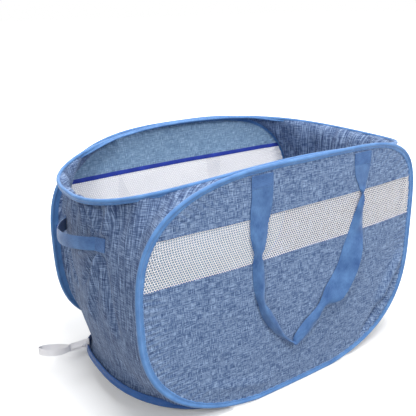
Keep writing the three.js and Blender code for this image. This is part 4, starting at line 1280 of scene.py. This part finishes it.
def plain_finish(name, colour, spread, scale, roughness, metallic=0.0):
    """A finish on Object coordinates: a fine noise shifts the colour a little and roughens the surface."""
    material, tree, shader = new_material(name)
    grain = noise(tree, tree.nodes.new("ShaderNodeTexCoord").outputs["Object"], scale, 3)
    mix = tree.nodes.new("ShaderNodeMix")
    mix.data_type = "RGBA"
    tree.links.new(grain, mix.inputs["Factor"])
    mix.inputs[6].default_value = (*[c * (1 - spread) for c in colour], 1)
    mix.inputs[7].default_value = (*[min(c * (1 + spread), 1) for c in colour], 1)
    tree.links.new(mix.outputs[2], shader.inputs["Base Color"])
    roughen(tree, shader, grain, 0.3, GRAIN_DEPTH["plain"])
    shader.inputs["Roughness"].default_value = roughness
    shader.inputs["Metallic"].default_value = metallic
    return material


def heather_cloth():
    colours = [(0.0, (0.038, 0.083, 0.21)), (0.5, (0.124, 0.202, 0.372)), (1.0, (0.33, 0.45, 0.66))]
    return textile("heather_cloth", HEATHER, colours, 0.85, 0.35, 0.15, Contrast=2.9)


def shaded_end_cloth():
    """The same cloth with its yarn hanging straight down, seen aslant, drawn a little coarser and darker:
    painted shade.
    """
    colours = [(0.0, (0.03, 0.058, 0.155)), (0.5, (0.1, 0.16, 0.3)), (1.0, (0.31, 0.42, 0.63))]
    return textile("shaded_end_cloth", HEATHER, colours, 0.85, 0.35, 0.15, Contrast=2.0, Streaks=0.9)


def lit_cloth_back():
    """The cloth's inner face, paler and greener: painted light that stands for light coming through the
    cloth.
    """
    colours = [(0.0, (0.075, 0.15, 0.27)), (0.5, (0.2, 0.33, 0.5)), (1.0, (0.46, 0.62, 0.78))]
    return textile("lit_cloth_back", HEATHER, colours, 0.8, 0.3, 0.1, Contrast=1.5)


def satin_tape():
    colours = [(0.2, (0.06, 0.17, 0.42)), (0.8, (0.13, 0.3, 0.61))]
    return textile("satin_tape", RIBBED, colours, 0.48, 0.15, 0.25, Rib=0.8 * MM)


def shaded_floor_tape():
    """The floor's tape, darker than the other tapes: painted shade for the shadow where it meets the floor.
    """
    colours = [(0.2, (0.012, 0.06, 0.22)), (0.8, (0.035, 0.125, 0.37))]
    return textile("shaded_floor_tape", RIBBED, colours, 0.48, 0.15, 0.25, Rib=0.8 * MM)


def strap_webbing():
    colours = [(0.25, (0.03, 0.09, 0.26)), (0.75, (0.1, 0.225, 0.47))]
    return textile("strap_webbing", RIBBED, colours, 0.55, 0.3, 0.3, Rib=1.3 * MM)


def tail_webbing():
    """The sewn tails and patches, duller and coarser than the strap."""
    colours = [(0.2, (0.035, 0.09, 0.25)), (0.5, (0.085, 0.185, 0.42)), (0.8, (0.12, 0.24, 0.5))]
    return textile("tail_webbing", RIBBED, colours, 0.65, 0.6, Rib=1.6 * MM)


def royal_tape():
    colours = [(0.2, (0.018, 0.035, 0.26)), (0.8, (0.035, 0.07, 0.46))]
    return textile("royal_tape", RIBBED, colours, 0.55, 0.3, Rib=0.9 * MM)


def elastic_band():
    colours = [(0.2, (0.93, 0.92, 0.95)), (0.8, (0.98, 0.97, 0.99))]
    return textile("elastic_band", RIBBED, colours, 0.75, 0.5, Rib=0.9 * MM)


def net_yarn():
    return plain_finish("net_yarn", (0.91, 0.89, 0.9), 0.06, 900, 0.7)


def sewing_thread():
    # Dark navy: partly the thread's own colour, partly painted shade for the shadow line along the tapes'
    # sewn edges.
    return plain_finish("sewing_thread", (0.045, 0.1, 0.26), 0.2, 700, 0.6)


def spring_steel():
    return plain_finish("spring_steel", (0.62, 0.64, 0.67), 0.1, 400, 0.3, 1.0)


place_camera()
set_surroundings()
# the end cloths' inner faces take the darker end cloth too: painted shade
cloth, ends = (heather_cloth(), lit_cloth_back()), (shaded_end_cloth(), shaded_end_cloth())
tape, webbing, tails = satin_tape(), strap_webbing(), tail_webbing()
royal, elastic, net, thread, steel = royal_tape(), elastic_band(), net_yarn(), sewing_thread(), spring_steel()
for loop_name in LOOPS:
    # the floor's loop takes the darker tape: painted shade
    add_binding(loop_name, shaded_floor_tape() if loop_name == "base" else tape, thread)
for panel_name in PANELS:
    add_panel_cloth(panel_name, cloth, thread)
    add_net(panel_name, net)
    add_seam_tapes(panel_name, royal)
    add_handle(panel_name, webbing, tails, thread)
add_floor_cloth(cloth)
for end_name, end_side in (("left", -1), ("right", 1)):
    add_grip(end_name, end_side, webbing, tails, thread)
    add_gusset(end_name, end_side, ends)
add_tie(elastic)
for node_name, node in frame["nodes"].items():
    if "wire" in node_name:
        node.data.materials.clear()
        node.data.materials.append(steel)
